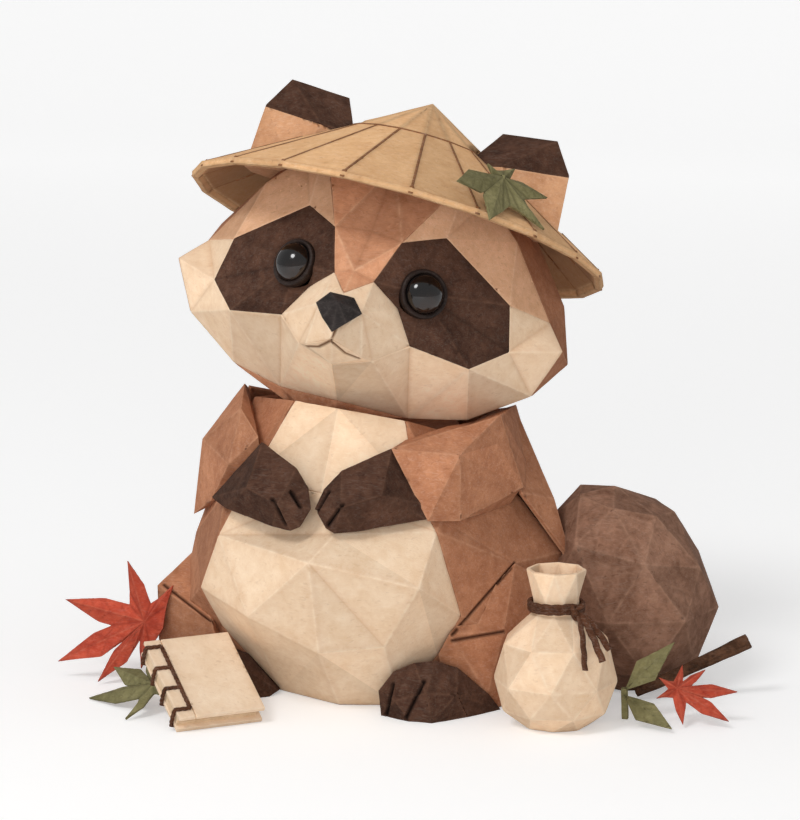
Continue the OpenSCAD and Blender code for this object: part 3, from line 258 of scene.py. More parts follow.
# %% Paper group
def make_paper_group():
    group = bpy.data.node_groups.new("handmade_paper", "ShaderNodeTree")
    socket_in(group, "Light", "NodeSocketColor", (0.8, 0.7, 0.5, 1))
    socket_in(group, "Dark", "NodeSocketColor", (0.6, 0.5, 0.3, 1))
    socket_in(group, "Fibres", "NodeSocketFloat", 0.5)
    socket_in(group, "Flecks", "NodeSocketFloat", 0.3)
    group.interface.new_socket("Colour", in_out="OUTPUT", socket_type="NodeSocketColor")
    group.interface.new_socket("Height", in_out="OUTPUT", socket_type="NodeSocketFloat")
    entry = group.nodes.new("NodeGroupInput")
    leave = group.nodes.new("NodeGroupOutput")
    place = group.nodes.new("ShaderNodeTexCoord").outputs["Object"]
    patches = spread(group, cloud(group, place, 7.0, 2.0), 0.30, 0.70)
    mottle = spread(group, cloud(group, place, 1.9, 4.0, 0.68, 0.4), 0.34, 0.66)
    grain = cloud(group, place, 0.5, 3.0, 0.7)
    tone = math_node(group, "ADD", math_node(group, "MULTIPLY", patches, 0.45),
                     math_node(group, "MULTIPLY", mottle, 0.55))
    colour = mix_colour(group, tone, entry.outputs["Dark"], entry.outputs["Light"])
    strands = None
    for turn_xyz in ((0, 0, 24), (0, 58, -35), (47, 0, 80), (72, 31, 12)):
        strand = cloud(group, laid(group, place, turn_xyz, (1, 5, 5)), 2.0, 1.0, 0.5, 1.2)
        strand = spread(group, strand, 0.60, 0.74)
        strands = strand if strands is None else math_node(group, "MAXIMUM", strands, strand)
    pale = mix_colour(group, 0.5, entry.outputs["Light"], (1.0, 0.95, 0.86))
    shown = math_node(group, "MULTIPLY", strands, entry.outputs["Fibres"])
    colour = mix_colour(group, shown, colour, pale)
    bits = None
    for turn_xyz in ((20, 10, -60), (65, -20, 30)):
        bit = cloud(group, laid(group, place, turn_xyz, (1, 2.2, 2.2)), 1.5, 1.0, 0.5, 0.8)
        bit = spread(group, bit, 0.66, 0.76)
        bits = bit if bits is None else math_node(group, "MAXIMUM", bits, bit)
    deep = mix_colour(group, 1.0, entry.outputs["Dark"], (0.62, 0.5, 0.42), "MULTIPLY")
    shown = math_node(group, "MULTIPLY", bits, entry.outputs["Flecks"])
    colour = mix_colour(group, shown, colour, deep)
    height = math_node(group, "ADD", math_node(group, "MULTIPLY", grain, 0.55),
                       math_node(group, "MULTIPLY", strands, 0.35))
    height = math_node(group, "ADD", height, math_node(group, "MULTIPLY", mottle, 0.35))
    group.links.new(colour, leave.inputs["Colour"])
    group.links.new(height, leave.inputs["Height"])
    return group


paper_group = make_paper_group()
print("paper group nodes:", len(paper_group.nodes))

# %% [markdown]
# Folding cracks the top fibres, so each crease shows as a thin broken line, paler than a
# brown sheet; the pale line is partly a painted highlight along the ridge. Beside the crease a
# cream sheet is a little darker, a painted shade, as it is along cut edges, inner corners and
# slits. The mesh code below stores how near each point is to a crease (`fold`) or to a cut
# edge (`rim`), beside the painted shade masks `shade` and `slit`, and the group
# `folds_wear_and_painted_light` turns those attributes into colour.

# %% Crease wear and painted light group
def make_wear_and_painted_light_group():
    group = bpy.data.node_groups.new("folds_wear_and_painted_light", "ShaderNodeTree")
    socket_in(group, "Colour", "NodeSocketColor", (0.5, 0.4, 0.3, 1))
    socket_in(group, "Crease colour", "NodeSocketColor", (0.9, 0.8, 0.7, 1))
    socket_in(group, "Shade colour", "NodeSocketColor", (0.3, 0.2, 0.1, 1))
    socket_in(group, "Creases", "NodeSocketFloat", 0.6)
    socket_in(group, "Edges", "NodeSocketFloat", 0.5)
    socket_in(group, "Shade", "NodeSocketFloat", 0.3)
    group.interface.new_socket("Colour", in_out="OUTPUT", socket_type="NodeSocketColor")
    group.interface.new_socket("Wear", in_out="OUTPUT", socket_type="NodeSocketFloat")
    entry = group.nodes.new("NodeGroupInput")
    leave = group.nodes.new("NodeGroupOutput")
    place = group.nodes.new("ShaderNodeTexCoord").outputs["Object"]

    def stored(name):
        node = group.nodes.new("ShaderNodeAttribute")
        node.attribute_name = name
        return node.outputs["Fac"]

    broken = spread(group, cloud(group, place, 2.2, 3.0, 0.7), 0.34, 0.60)
    # fold and rim give the crease colour: wear, and along creases also a painted highlight.
    fold = math_node(group, "POWER", stored("fold"), 2.2)
    rim = math_node(group, "POWER", stored("rim"), 2.0)
    cracked, frayed = (math_node(group, "MULTIPLY", mask, broken) for mask in (fold, rim))
    worn = math_node(group, "MULTIPLY", cracked, entry.outputs["Creases"])
    bared = math_node(group, "MULTIPLY", frayed, entry.outputs["Edges"])
    wear = math_node(group, "MAXIMUM", worn, bared, clamp=True)
    # Painted shade: the shade mask darkens towards the shade colour beside creases, edges and inner corners.
    near = math_node(group, "MULTIPLY", stored("shade"), entry.outputs["Shade"])
    # tone holds each facet's random tone and, on the tail, a painted shade.
    lift = math_node(group, "ADD", math_node(group, "MULTIPLY", stored("tone"), 0.34), 1.0)
    level = group.nodes.new("ShaderNodeCombineXYZ")
    for axis in range(3):
        group.links.new(lift, level.inputs[axis])
    colour = mix_colour(group, 1.0, entry.outputs["Colour"], level.outputs[0], "MULTIPLY")
    colour = mix_colour(group, near, colour, entry.outputs["Shade colour"])
    colour = mix_colour(group, wear, colour, entry.outputs["Crease colour"])
    # Painted shadow: slits darken nearly to black.
    deep = mix_colour(group, 1.0, entry.outputs["Shade colour"], (0.30, 0.26, 0.24), "MULTIPLY")
    colour = mix_colour(group, math_node(group, "POWER", stored("slit"), 0.7), colour, deep)
    group.links.new(colour, leave.inputs["Colour"])
    group.links.new(wear, leave.inputs["Wear"])
    return group


wear_and_painted_light_group = make_wear_and_painted_light_group()
print("wear group nodes:", len(wear_and_painted_light_group.nodes))

# %% [markdown]
# A finish is a Principled material with both groups in front of it. The colours are given as
# they read on a screen, 0 to 255: the lightest and the darkest that the pulp shows, the bare
# fibre of a crease, which is also a painted highlight along the ridge, and a painted shade
# colour that darkens beside creases, edges and inner corners, in slits and under the hat's brim.

# %% A paper finish
def placed_group(tree, group, values):
    node = tree.nodes.new("ShaderNodeGroup")
    node.node_tree = group
    for name, value in values.items():
        if isinstance(value, tuple):
            node.inputs[name].default_value = (*value[:3], 1)
        elif isinstance(value, (int, float)):
            node.inputs[name].default_value = value
        else:
            tree.links.new(value, node.inputs[name])
    return node


def paper_finish(name, light, dark, crease, shade, creases=0.6, edges=0.5, shading=0.3,
                 fibres=0.35, flecks=0.3, roughness=0.9, bump=0.35, bump_mm=0.12, sheen=0.2):
    material = bpy.data.materials.new(name)
    material.use_nodes = True
    tree = material.node_tree
    shader = tree.nodes["Principled BSDF"]
    light, dark, crease, shade = (painted(*colour) for colour in (light, dark, crease, shade))
    pulp = placed_group(tree, paper_group, {
        "Light": light, "Dark": dark, "Fibres": fibres, "Flecks": flecks})
    worn = placed_group(tree, wear_and_painted_light_group, {
        "Colour": pulp.outputs["Colour"], "Crease colour": crease, "Shade colour": shade,
        "Creases": creases, "Edges": edges, "Shade": shading})
    relief = tree.nodes.new("ShaderNodeBump")
    relief.inputs["Strength"].default_value = bump
    relief.inputs["Distance"].default_value = bump_mm * MM
    tree.links.new(pulp.outputs["Height"], relief.inputs["Height"])
    tree.links.new(relief.outputs[0], shader.inputs["Normal"])
    tree.links.new(worn.outputs["Colour"], shader.inputs["Base Color"])
    shader.inputs["Roughness"].default_value = roughness
    shader.inputs["Specular IOR Level"].default_value = sheen
    return material

# %% [markdown]
# The sheets: cream for the belly, cheeks and pouch, kraft brown for the coat, tan for the
# ears, a paler tan and brown for the brows and forehead as painted light against the brim's
# shadow, dark brown for mask and paws, and so on. Straw, leaves, bark and cord take the same
# kind of finish, since all are fibre.

# %% Paper finishes
finish = {
    "cream": paper_finish(
        "cream_paper", (248, 222, 192), (232, 198, 162), (252, 234, 208),
        (186, 132, 88), creases=0.50, edges=0.30, shading=0.36, fibres=0.16, flecks=0.20),
    "brown": paper_finish(
        "brown_paper", (194, 136, 101), (156, 100, 70), (214, 162, 128),
        (98, 52, 30), creases=0.48, edges=0.45, shading=0.34, fibres=0.12, flecks=0.30),
    "tan": paper_finish(
        "tan_paper", (210, 160, 121), (182, 131, 94), (230, 190, 153),
        (132, 82, 50), creases=0.50, edges=0.40, shading=0.28, fibres=0.16, flecks=0.30),
    # Brow and forehead papers: the tan and the brown painted paler, painted light that makes up for the
    # brim's shadow.
    "brow": paper_finish(
        "brow_paper_painted_light", (236, 188, 150), (210, 160, 122), (246, 210, 176),
        (150, 98, 64), creases=0.50, edges=0.40, shading=0.28, fibres=0.16, flecks=0.30),
    "front": paper_finish(
        "forehead_paper_painted_light", (224, 164, 126), (190, 130, 94), (240, 194, 158),
        (120, 70, 42), creases=0.52, edges=0.45, shading=0.30, fibres=0.12, flecks=0.30),
    "dark": paper_finish(
        "dark_paper", (95, 66, 52), (56, 36, 28), (126, 92, 74),
        (24, 15, 11), creases=0.34, edges=0.30, shading=0.42, fibres=0.05, flecks=0.4,
        sheen=0.10),
    "tail": paper_finish(
        "tail_paper", (160, 120, 98), (104, 71, 54), (182, 142, 118),
        (52, 31, 22), creases=0.42, edges=0.4, shading=0.36, fibres=0.07, flecks=0.4,
        sheen=0.15),
    # The straw's strong shade paints the shadow under the brim as well as beside the creases.
    "straw": paper_finish(
        "straw_paper", (240, 194, 144), (218, 166, 116), (244, 208, 162),
        (116, 70, 36), creases=0.50, edges=0.45, shading=0.85, fibres=0.20, flecks=0.32),
    # Dark straw for the ribs and the cap's seam, painted shadow lines where the panels overlap, and for the
    # rim stitches.
    "rib": paper_finish(
        "dark_straw_painted_shadow_and_stitches", (158, 108, 70), (112, 72, 43), (186, 138, 98),
        (70, 42, 24), creases=0.3, edges=0.3, shading=0.4, fibres=0.2, flecks=0.4),
    "green": paper_finish(
        "green_paper", (150, 142, 99), (106, 101, 66), (160, 152, 112),
        (54, 52, 28), creases=0.32, edges=0.30, shading=0.50, fibres=0.06, flecks=0.35),
    "red": paper_finish(
        "red_paper", (202, 90, 65), (160, 56, 40), (224, 130, 102),
        (98, 26, 18), creases=0.35, edges=0.30, shading=0.50, fibres=0.06, flecks=0.35),
    "black": paper_finish(
        "black_paper", (50, 43, 41), (24, 20, 20), (84, 75, 72),
        (8, 6, 6), creases=0.40, edges=0.40, shading=0.2, fibres=0.03, flecks=0.3,
        roughness=0.62, sheen=0.2),
    "cover": paper_finish(
        "cover_paper", (250, 227, 200), (236, 206, 173), (252, 237, 214),
        (178, 130, 88), creases=0.45, edges=0.30, shading=0.36, fibres=0.14, flecks=0.22),
    "page": paper_finish(
        "page_paper", (240, 214, 182), (212, 180, 142), (250, 232, 206),
        (150, 106, 68), creases=0.3, edges=0.30, shading=0.5, fibres=0.1, flecks=0.25),
    "cord": paper_finish(
        "cord_fibre", (104, 65, 44), (62, 36, 23), (136, 98, 74),
        (34, 18, 11), creases=0.3, edges=0.3, shading=0.6, fibres=0.12, flecks=0.4,
        roughness=0.78, bump=0.6, sheen=0.12),
    "bark": paper_finish(
        "bark_skin", (112, 78, 58), (50, 32, 22), (116, 86, 66),
        (16, 10, 7), creases=0.34, edges=0.4, shading=0.6, fibres=0.04, flecks=0.5,
        roughness=0.95, bump=0.9, bump_mm=0.3, sheen=0.1),
    "rim": paper_finish(
        "dyed_rim", (48, 34, 29), (26, 18, 15), (74, 56, 48),
        (10, 7, 6), creases=0.2, edges=0.3, shading=0.4, fibres=0.03, flecks=0.3,
        roughness=0.50, sheen=0.2),
}
print("finishes:", sorted(finish))

# %% [markdown]
# Each solid arrives as loose triangles. A copy is welded, its flat facets are made whole, and
# its creases are noted as lines. Then the creases are rounded a little, the facets are cut
# into small triangles and pushed about by less than a tenth of a millimetre, as damp-folded
# paper settles. The near-crease masks are stored on the points for the finishes to read.

# %% Whole facets and their tones
weld_mm = 0.02
flat_within_deg = 1.2
tone_patch_mm = 11
crease_from_deg = 7.0
cut_edge_from_deg = 62.0


def whole_facets(node):
    bm = bmesh.new()
    bm.from_mesh(solids[node].data)
    bmesh.ops.remove_doubles(bm, verts=bm.verts, dist=weld_mm * MM)
    bmesh.ops.dissolve_degenerate(bm, edges=bm.edges, dist=weld_mm * MM)
    bmesh.ops.dissolve_limit(bm, angle_limit=math.radians(flat_within_deg), verts=bm.verts, edges=bm.edges)
    return bm


def tone_facets(bm, seed, dim=None):
    """Each facet a slightly different tone, as pulp varies over a sheet. Facets that look
    towards dim are darkened further, a painted shade."""
    layer = bm.faces.layers.float.new("tone")
    for face in bm.faces:
        place = face.calc_center_median() / (tone_patch_mm * MM)
        lot = face.normal * 2.3 + place + Vector((seed, 0.37 * seed, 0))
        painted_darkening = 1.3 * max(0.0, face.normal.dot(dim)) if dim is not None else 0.0
        face[layer] = max(-0.5, min(0.5, noise.noise(lot))) - painted_darkening

# %% [markdown]
# Wear and painted light follow lines: creases, cut edges, inner corners, leaf veins, and the
# few slits and soft folds that the picture shows on one facet. Each is kept as pairs of
# points, and `nearness` turns a list of them into a mask on any set of points.

# %% Lines on the paper
def traced(bm, picture_lines, samples=14):
    """Lines seen in the picture, laid on the paper, as point pairs."""
    tree = BVHTree.FromBMesh(bm)
    pairs = []
    for start, end in picture_lines:
        last = None
        for i in range(samples + 1):
            share = i / samples
            eye, way = line_of_sight([a + share * (b - a) for a, b in zip(start, end)])
            hit = tree.ray_cast(eye, way)[0]
            if hit is not None and last is not None and (hit - last).length < 3 * MM:
                pairs.append((np.array(last), np.array(hit)))
            last = hit
    return pairs


def crease_lines(bm):
    """Creases, cut edges and inner corners, each as a list of point pairs."""
    folds, rims, hollows = [], [], []
    for edge in bm.edges:
        if len(edge.link_faces) != 2:
            continue
        angle = math.degrees(edge.calc_face_angle_signed(0))
        ends = (np.array(edge.verts[0].co), np.array(edge.verts[1].co))
        if angle > cut_edge_from_deg:
            rims.append(ends)
        elif angle > crease_from_deg:
            folds.append(ends)
        elif angle < -crease_from_deg:
            hollows.append(ends)
    return folds, rims, hollows


def nearness(points, lines, width):
    """1 on the lines, falling to 0 at the width."""
    mask = np.zeros(len(points))
    for start, end in lines:
        run = end - start
        along = np.clip(((points - start) @ run) / max(run @ run, 1e-12), 0, 1)
        far = np.linalg.norm(points - start - along[:, None] * run, axis=1)
        mask = np.maximum(mask, np.clip(1 - far / width, 0, 1))
    return mask


def side_veins(bm):
    """Short veins that leave each long ridge at a slant, as on a leaf."""
    lines = []
    for edge in bm.edges:
        if len(edge.link_faces) != 2 or edge.calc_length() < 3.5 * MM:
            continue
        if not 3 <= math.degrees(edge.calc_face_angle_signed(0)) <= 60:
            continue
        a, b = edge.verts[0].co, edge.verts[1].co
        run = b - a
        for face in edge.link_faces:
            side = face.normal.cross(run)
            side = side if side.dot(face.calc_center_median() - a) > 0 else -side
            slant = side.normalized() + 1.1 * run.normalized()
            for share in (0.22, 0.42, 0.62):
                root = a + run * share
                lines.append((np.array(root), np.array(root + slant * 0.16 * run.length)))
    return lines

# %% [markdown]
# A bevel rounds the creases. Then the facets are cut into small triangles, finer beside slits,
# so that they can be pressed and rippled like a real sheet instead of only looking so.

# %% Softened folds
def round_creases(bm, radius, steps=2):
    sharp = [e for e in bm.edges if len(e.link_faces) == 2
             and abs(e.calc_face_angle_signed(0)) > math.radians(crease_from_deg)]
    bmesh.ops.bevel(bm, geom=sharp, offset=radius, offset_type="OFFSET", segments=steps,
                    profile=0.5, affect="EDGES", clamp_overlap=True)
    bmesh.ops.remove_doubles(bm, verts=bm.verts, dist=weld_mm * MM / 2)


def cut_fine(bm, step, near=(), near_step=0.22 * MM):
    for _ in range(7):
        bmesh.ops.triangulate(bm, faces=bm.faces[:])
        long_edges = [e for e in bm.edges if e.calc_length() > step]
        if not long_edges:
            break
        bmesh.ops.subdivide_edges(bm, edges=long_edges, cuts=1)
    bmesh.ops.triangulate(bm, faces=bm.faces[:])
    for _ in range(4 if near else 0):
        edges = [e for e in bm.edges if e.calc_length() > near_step]
        middles = np.array([(e.verts[0].co + e.verts[1].co) / 2 for e in edges])
        close = nearness(middles, near, 0.9 * MM) > 0
        bmesh.ops.subdivide_edges(bm, edges=[e for e, c in zip(edges, close) if c], cuts=1)
        bmesh.ops.triangulate(bm, faces=bm.faces[:])


def press(bm, mask, depth):
    """Pushes the paper in where the mask is 1."""
    bm.normal_update()
    for v, share in zip(bm.verts, mask):
        if share > 0:
            v.co -= v.normal * float(depth * share)


def ripple(bm, depth, patch):
    """One wave field in space, so sheets that meet edge to edge rise and fall together."""
    bm.normal_update()
    shift = Vector((3.1, 1.7, 2.3))
    moves = []
    for v in bm.verts:
        wave = noise.noise(v.co / patch + shift) + 0.4 * noise.noise(v.co / (0.35 * patch) - shift)
        moves.append(v.normal * depth * wave)
    for v, move in zip(bm.verts, moves):
        v.co += move

# %% [markdown]
# A dressed piece takes the place of its solid. `dress` does the whole job on one welded solid:
# it notes the lines, rounds and cuts, stores the masks, presses, ripples, and hands the piece
# to its body and hides the solid that it replaces.

# %% Dressed sheets
def points_of(bm):
    return np.array([v.co for v in bm.verts])


def store(mesh, name, values):
    layer = mesh.attributes.new(name, "FLOAT", "POINT")
    layer.data.foreach_set("value", np.asarray(values, dtype=np.float32))


def as_piece(bm, name, material, masks):
    mesh = bpy.data.meshes.new(name)
    bm.to_mesh(mesh)
    bm.free()
    mesh.polygons.foreach_set("use_smooth", [True] * len(mesh.polygons))
    for mask, values in masks.items():
        store(mesh, mask, values)
    mesh.materials.append(material)
    piece = bpy.data.objects.new(name, mesh)
    bpy.context.scene.collection.objects.link(piece)
    return piece


def settle(piece, body, slot_name, *nodes):
    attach(piece, body)
    if nodes:
        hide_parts(*nodes)
    return piece


def dress(bm, name, body, sheet, slot_name, nodes, seed, radius=0.22, step=1.1, depth=0.07,
          patch=6.0, worn=0.8, tone=2.6, slits=(), slit_mm=0.42, slit_deep=0.5, pressed=(),
          veins=False, dim=None):
    """A welded solid, dressed as folded paper."""
    tone_facets(bm, seed, dim)
    folds, rims, hollows = crease_lines(bm)
    cuts = traced(bm, slits)
    soft = traced(bm, pressed)
    ribs = side_veins(bm) if veins else []
    round_creases(bm, radius * MM)
    cut_fine(bm, step * MM, cuts + soft)
    points = points_of(bm)
    slit = nearness(points, cuts, slit_mm * MM)
    crease = nearness(points, soft, 0.7 * MM)
    vein = nearness(points, ribs, 0.35 * MM)
    # fold is crease wear and a painted highlight; shade is painted shade beside creases and cut edges, along
    # inner corners, pressed folds and leaf veins; slit is painted shadow in slits.
    masks = {
        "fold": np.maximum(nearness(points, folds, worn * MM), 0.8 * crease),
        "rim": nearness(points, rims, 0.55 * MM),
        "shade": np.maximum.reduce([
            0.55 * nearness(points, rims + folds, tone * MM) ** 2, nearness(points, hollows, 0.55 * MM),
            0.7 * vein, 0.35 * nearness(points, soft, 1.6 * MM)]),
        "slit": slit,
    }
    press(bm, slit, slit_deep * MM)
    press(bm, np.maximum(crease, 0.5 * vein), 0.10 * MM)
    ripple(bm, depth * MM, patch * MM)
    return settle(as_piece(bm, name, finish[sheet], masks), body, slot_name, *nodes)


def fold_piece(node, body, sheet, seed, slot_name=None, **looks):
    return dress(whole_facets(node), node + "_folded", body, sheet, slot_name or sheet + "_paper",
                 (node,), seed, **looks)

# %% [markdown]
# The torso is one big sheet: cream in front, kraft brown round the flanks and back. The coat,
# sleeves and thighs are further folds of the same brown. They differ only in which solid they
# follow, so one loop dresses them all.

# %% Torso, coat and limbs
torso_sheets = {
    "belly": "cream", "chest": "cream", "flank_left": "brown", "flank_right": "brown",
    "body_back": "brown", "coat_collar": "brown", "neck_plate": "brown", "body_base": "brown",
    "coat_back": "brown", "sleeve_left": "brown", "sleeve_right": "brown",
    "thigh_left": "brown", "thigh_right": "brown", "tail": "tail",
}
# The thigh lines darken nearly black, painted shadow along overlapping edges; the soft folds get a painted
# highlight and painted shade.
thigh_right_px = [((433.7, 390.2), (413.2, 413.7)), ((413.2, 415.7), (430.1, 412.7))]
overlaps_px = {"thigh_right": thigh_right_px, "flank_right": thigh_right_px,
               "thigh_left": [((318.8, 397.3), (334.9, 409.8))]}
soft_folds_px = {"flank_right": [((415.3, 379.0), (432.6, 389.7))],
                 "sleeve_right": [((415.8, 355.0), (429.1, 338.4))],
                 "tail": [((454.2, 367.9), (474.9, 376.4)), ((474.9, 376.4), (490.5, 381.0)),
                          ((459.7, 389.7), (488.7, 398.9)), ((488.7, 398.9), (493.7, 409.9))]}
# The tail's facets that face down and left as the camera sees them are darkened: painted shade.
tail_painted_shade_way = {"tail": -0.38 * sight_right - 0.50 * sight_up}
for seed, (node, sheet) in enumerate(torso_sheets.items()):
    piece = fold_piece(node, "body", sheet, seed, slits=overlaps_px.get(node, ()), slit_mm=0.5,
                       slit_deep=0.3, pressed=soft_folds_px.get(node, ()), dim=tail_painted_shade_way.get(node))
    print(node, "triangles:", len(piece.data.polygons))

# %% [markdown]
# The head is cut from the same sheets. Its forehead and brows are painted paler than those
# sheets, painted light that makes up for the brim's shadow. Its dark mask patches meet the
# cheeks edge to edge, so their cut edges stay a little crisper than the big folds.

# %% Head sheets
head_sheets = {
    "head_underside": "brown", "crown": "brown", "forehead": "front",
    "brow_left": "brow", "brow_right": "brow", "mask_left": "dark", "mask_right": "dark",
    "cheek_left": "cream", "cheek_right": "cream", "muzzle": "cream", "chin": "cream",
    "ear_left": "tan", "ear_right": "tan", "ear_tip_left": "dark", "ear_tip_right": "dark",
}
# The mouth's line darkens nearly black: painted shadow in the crease.
lip_px = (373.2, 317.4)
mouth_px = [((375.0, 313.2), (374.2, 315.4)), ((374.2, 315.4), lip_px), (lip_px, (369.4, 319.3)),
            ((369.4, 319.3), (365.4, 319.2)), (lip_px, (378.0, 321.4)), ((378.0, 321.4), (382.6, 323.2))]
own_slots = {"brow": "tan_paper", "front": "brown_paper"}
for seed, (node, sheet) in enumerate(head_sheets.items()):
    mouth = mouth_px if node in ("muzzle", "chin") else ()
    piece = fold_piece(node, "head", sheet, 20 + seed, slot_name=own_slots.get(sheet),
                       radius=0.16, step=0.9, depth=0.05, slits=mouth, slit_mm=0.42, slit_deep=0.22)
    print(node, "triangles:", len(piece.data.polygons))

# %% [markdown]
# Paws and feet are dark folded forms, most with two slits between the toes. The slits are
# drawn where the picture shows them: lines of sight through their ends meet the paper, and the
# paper is pressed in along them.

# %% Paws, feet and nose
# The toe slits darken nearly black: painted shadow inside them.
toe_slits_px = {
    "paw_left": [((354.0, 369.1), (358.3, 377.6)), ((360.4, 366.8), (363.4, 371.9))],
    "paw_right": [((372.6, 366.8), (368.6, 373.5)), ((377.2, 370.9), (372.1, 378.0))],
    "foot_left": [],
    "foot_right": [((393.6, 430.0), (391.3, 440.7)), ((403.8, 429.0), (397.9, 441.2))],
}
for seed, (node, slits) in enumerate(toe_slits_px.items()):
    piece = fold_piece(node, "body", "dark", 50 + seed, radius=0.5, step=0.6, depth=0.10, patch=4.0,
                       slits=slits, slit_mm=0.55, slit_deep=0.6)
    print(node, "triangles:", len(piece.data.polygons))
fold_piece("nose", "head", "black", 60, radius=0.3, step=0.35, depth=0.04, patch=2.0)
neck_parts = {"neck_tube": "body", "neck_washer": "body", "head_base": "head"}
for seed, (node, body) in enumerate(neck_parts.items()):
    fold_piece(node, body, "cream", 64 + seed, radius=0.08, step=1.4, depth=0.02)

# %% [markdown]
# The eyes are polished black beads in dark dyed rims. A bead is turned afresh on its rim's
# centre and pressed a little flat, as a bead for sewing is. The rim is a rounded ring whose
# axis is the direction in which the solid is thinnest. The bead's lower side, taken from the
# camera's axes, is painted browner: a painted reflection of the pale floor.

# %% Eyes
def bead_material():
    material = bpy.data.materials.new("bead_with_painted_reflection")
    material.use_nodes = True
    tree = material.node_tree
    shader = tree.nodes["Principled BSDF"]
    low = tree.nodes.new("ShaderNodeAttribute")
    low.attribute_name = "low"
    place = tree.nodes.new("ShaderNodeTexCoord").outputs["Object"]
    haze = cloud(tree, place, 1.2, 3.0)
    # The low side goes brown: a painted reflection of the pale floor.
    brown = math_node(tree, "MULTIPLY", math_node(tree, "POWER", low.outputs["Fac"], 2.6),
                      spread(tree, haze, 0.1, 0.7))
    colour = mix_colour(tree, brown, painted(13, 11, 11), painted(52, 36, 28))
    tree.links.new(colour, shader.inputs["Base Color"])
    polish = math_node(tree, "ADD", math_node(tree, "MULTIPLY", haze, 0.05), 0.09)
    tree.links.new(polish, shader.inputs["Roughness"])
    shader.inputs["Specular IOR Level"].default_value = 0.60
    return material


bead = bead_material()


def middle_and_thin_axis(node):
    points = np.array([v.co for v in solids[node].data.vertices])
    centre = (points.min(axis=0) + points.max(axis=0)) / 2
    middle_point = points.mean(axis=0)
    axis = np.linalg.svd(points - middle_point, full_matrices=False)[2][2]
    axis = axis if axis[1] < 0 else -axis
    return Vector(centre), Vector(middle_point), Vector(axis), points


def turned_ring(name, centre, axis, outline, turns=72):
    """A ring turned from an outline of (radius, height) points."""
    bm = bmesh.new()
    across = axis.orthogonal().normalized()
    side = axis.cross(across)
    rows = []
    for i in range(turns):
        a = math.tau * i / turns
        out = across * math.cos(a) + side * math.sin(a)
        rows.append([bm.verts.new(centre + out * r + axis * h) for r, h in outline])
    for i in range(turns):
        one, two = rows[i], rows[(i + 1) % turns]
        for k in range(len(outline)):
            n = (k + 1) % len(outline)
            bm.faces.new((one[k], two[k], two[n], one[n]))
    bmesh.ops.recalc_face_normals(bm, faces=bm.faces)
    return as_piece(bm, name, finish["rim"], {})


bead_flat = 0.80
bead_low = 0.25
for side in ("left", "right"):
    node = "eye_" + side
    centre, _, _, points = middle_and_thin_axis(node)
    ball_radius = (points.max(axis=0) - points.min(axis=0)).max() / 2
    rim_node = "eye_ring_" + side
    _, rim_centre, axis, rim_points = middle_and_thin_axis(rim_node)
    bm = bmesh.new()
    bmesh.ops.create_uvsphere(bm, u_segments=72, v_segments=48, radius=ball_radius)
    for v in bm.verts:
        stands = v.co.dot(axis)
        v.co += rim_centre + axis * (bead_low * MM + (bead_flat - 1) * stands)
    # Down for the painted reflection is taken from the camera's axes.
    painted_reflection_way = (-sight_up + 0.25 * sight_right + 0.5 * sight_back).normalized()
    low = [max(0.0, (v.co - centre).normalized().dot(painted_reflection_way)) for v in bm.verts]
    settle(as_piece(bm, node + "_ball", bead, {"low": low}), "head", "bead", node)

    away = rim_points - np.array(rim_centre)
    height = away @ np.array(axis)
    reach = np.linalg.norm(away - height[:, None] * np.array(axis), axis=1)
    inner, outer, half = reach.min() + 0.02 * MM, reach.max(), height.max()
    band = (outer - inner) / 2
    outline = [(inner, -half), (outer, -half), (outer, half * 0.55)]
    outline += [(outer - band + band * math.cos(a), half * 0.55 + half * 0.45 * math.sin(a))
                for a in (math.radians(d) for d in (20, 40, 60, 80, 100, 120, 140, 160))]
    outline += [(inner, half * 0.55)]
    settle(turned_ring(rim_node + "_turned", rim_centre, axis, outline), "head", "eye_rim", rim_node)
    print(node, "radius %.2f mm, rim %.2f to %.2f mm" % (ball_radius / MM, inner / MM, outer / MM))

# %% [markdown]
# Ribs, seams, rim stitches and the ledger's leaves are all the same thing many times over: a
# thin bar laid somewhere. Geometry Nodes lays them. The script gives it one point per bar, with
# how the bar is turned and how large it is, and the tree sets a bar on each, a little uneven.

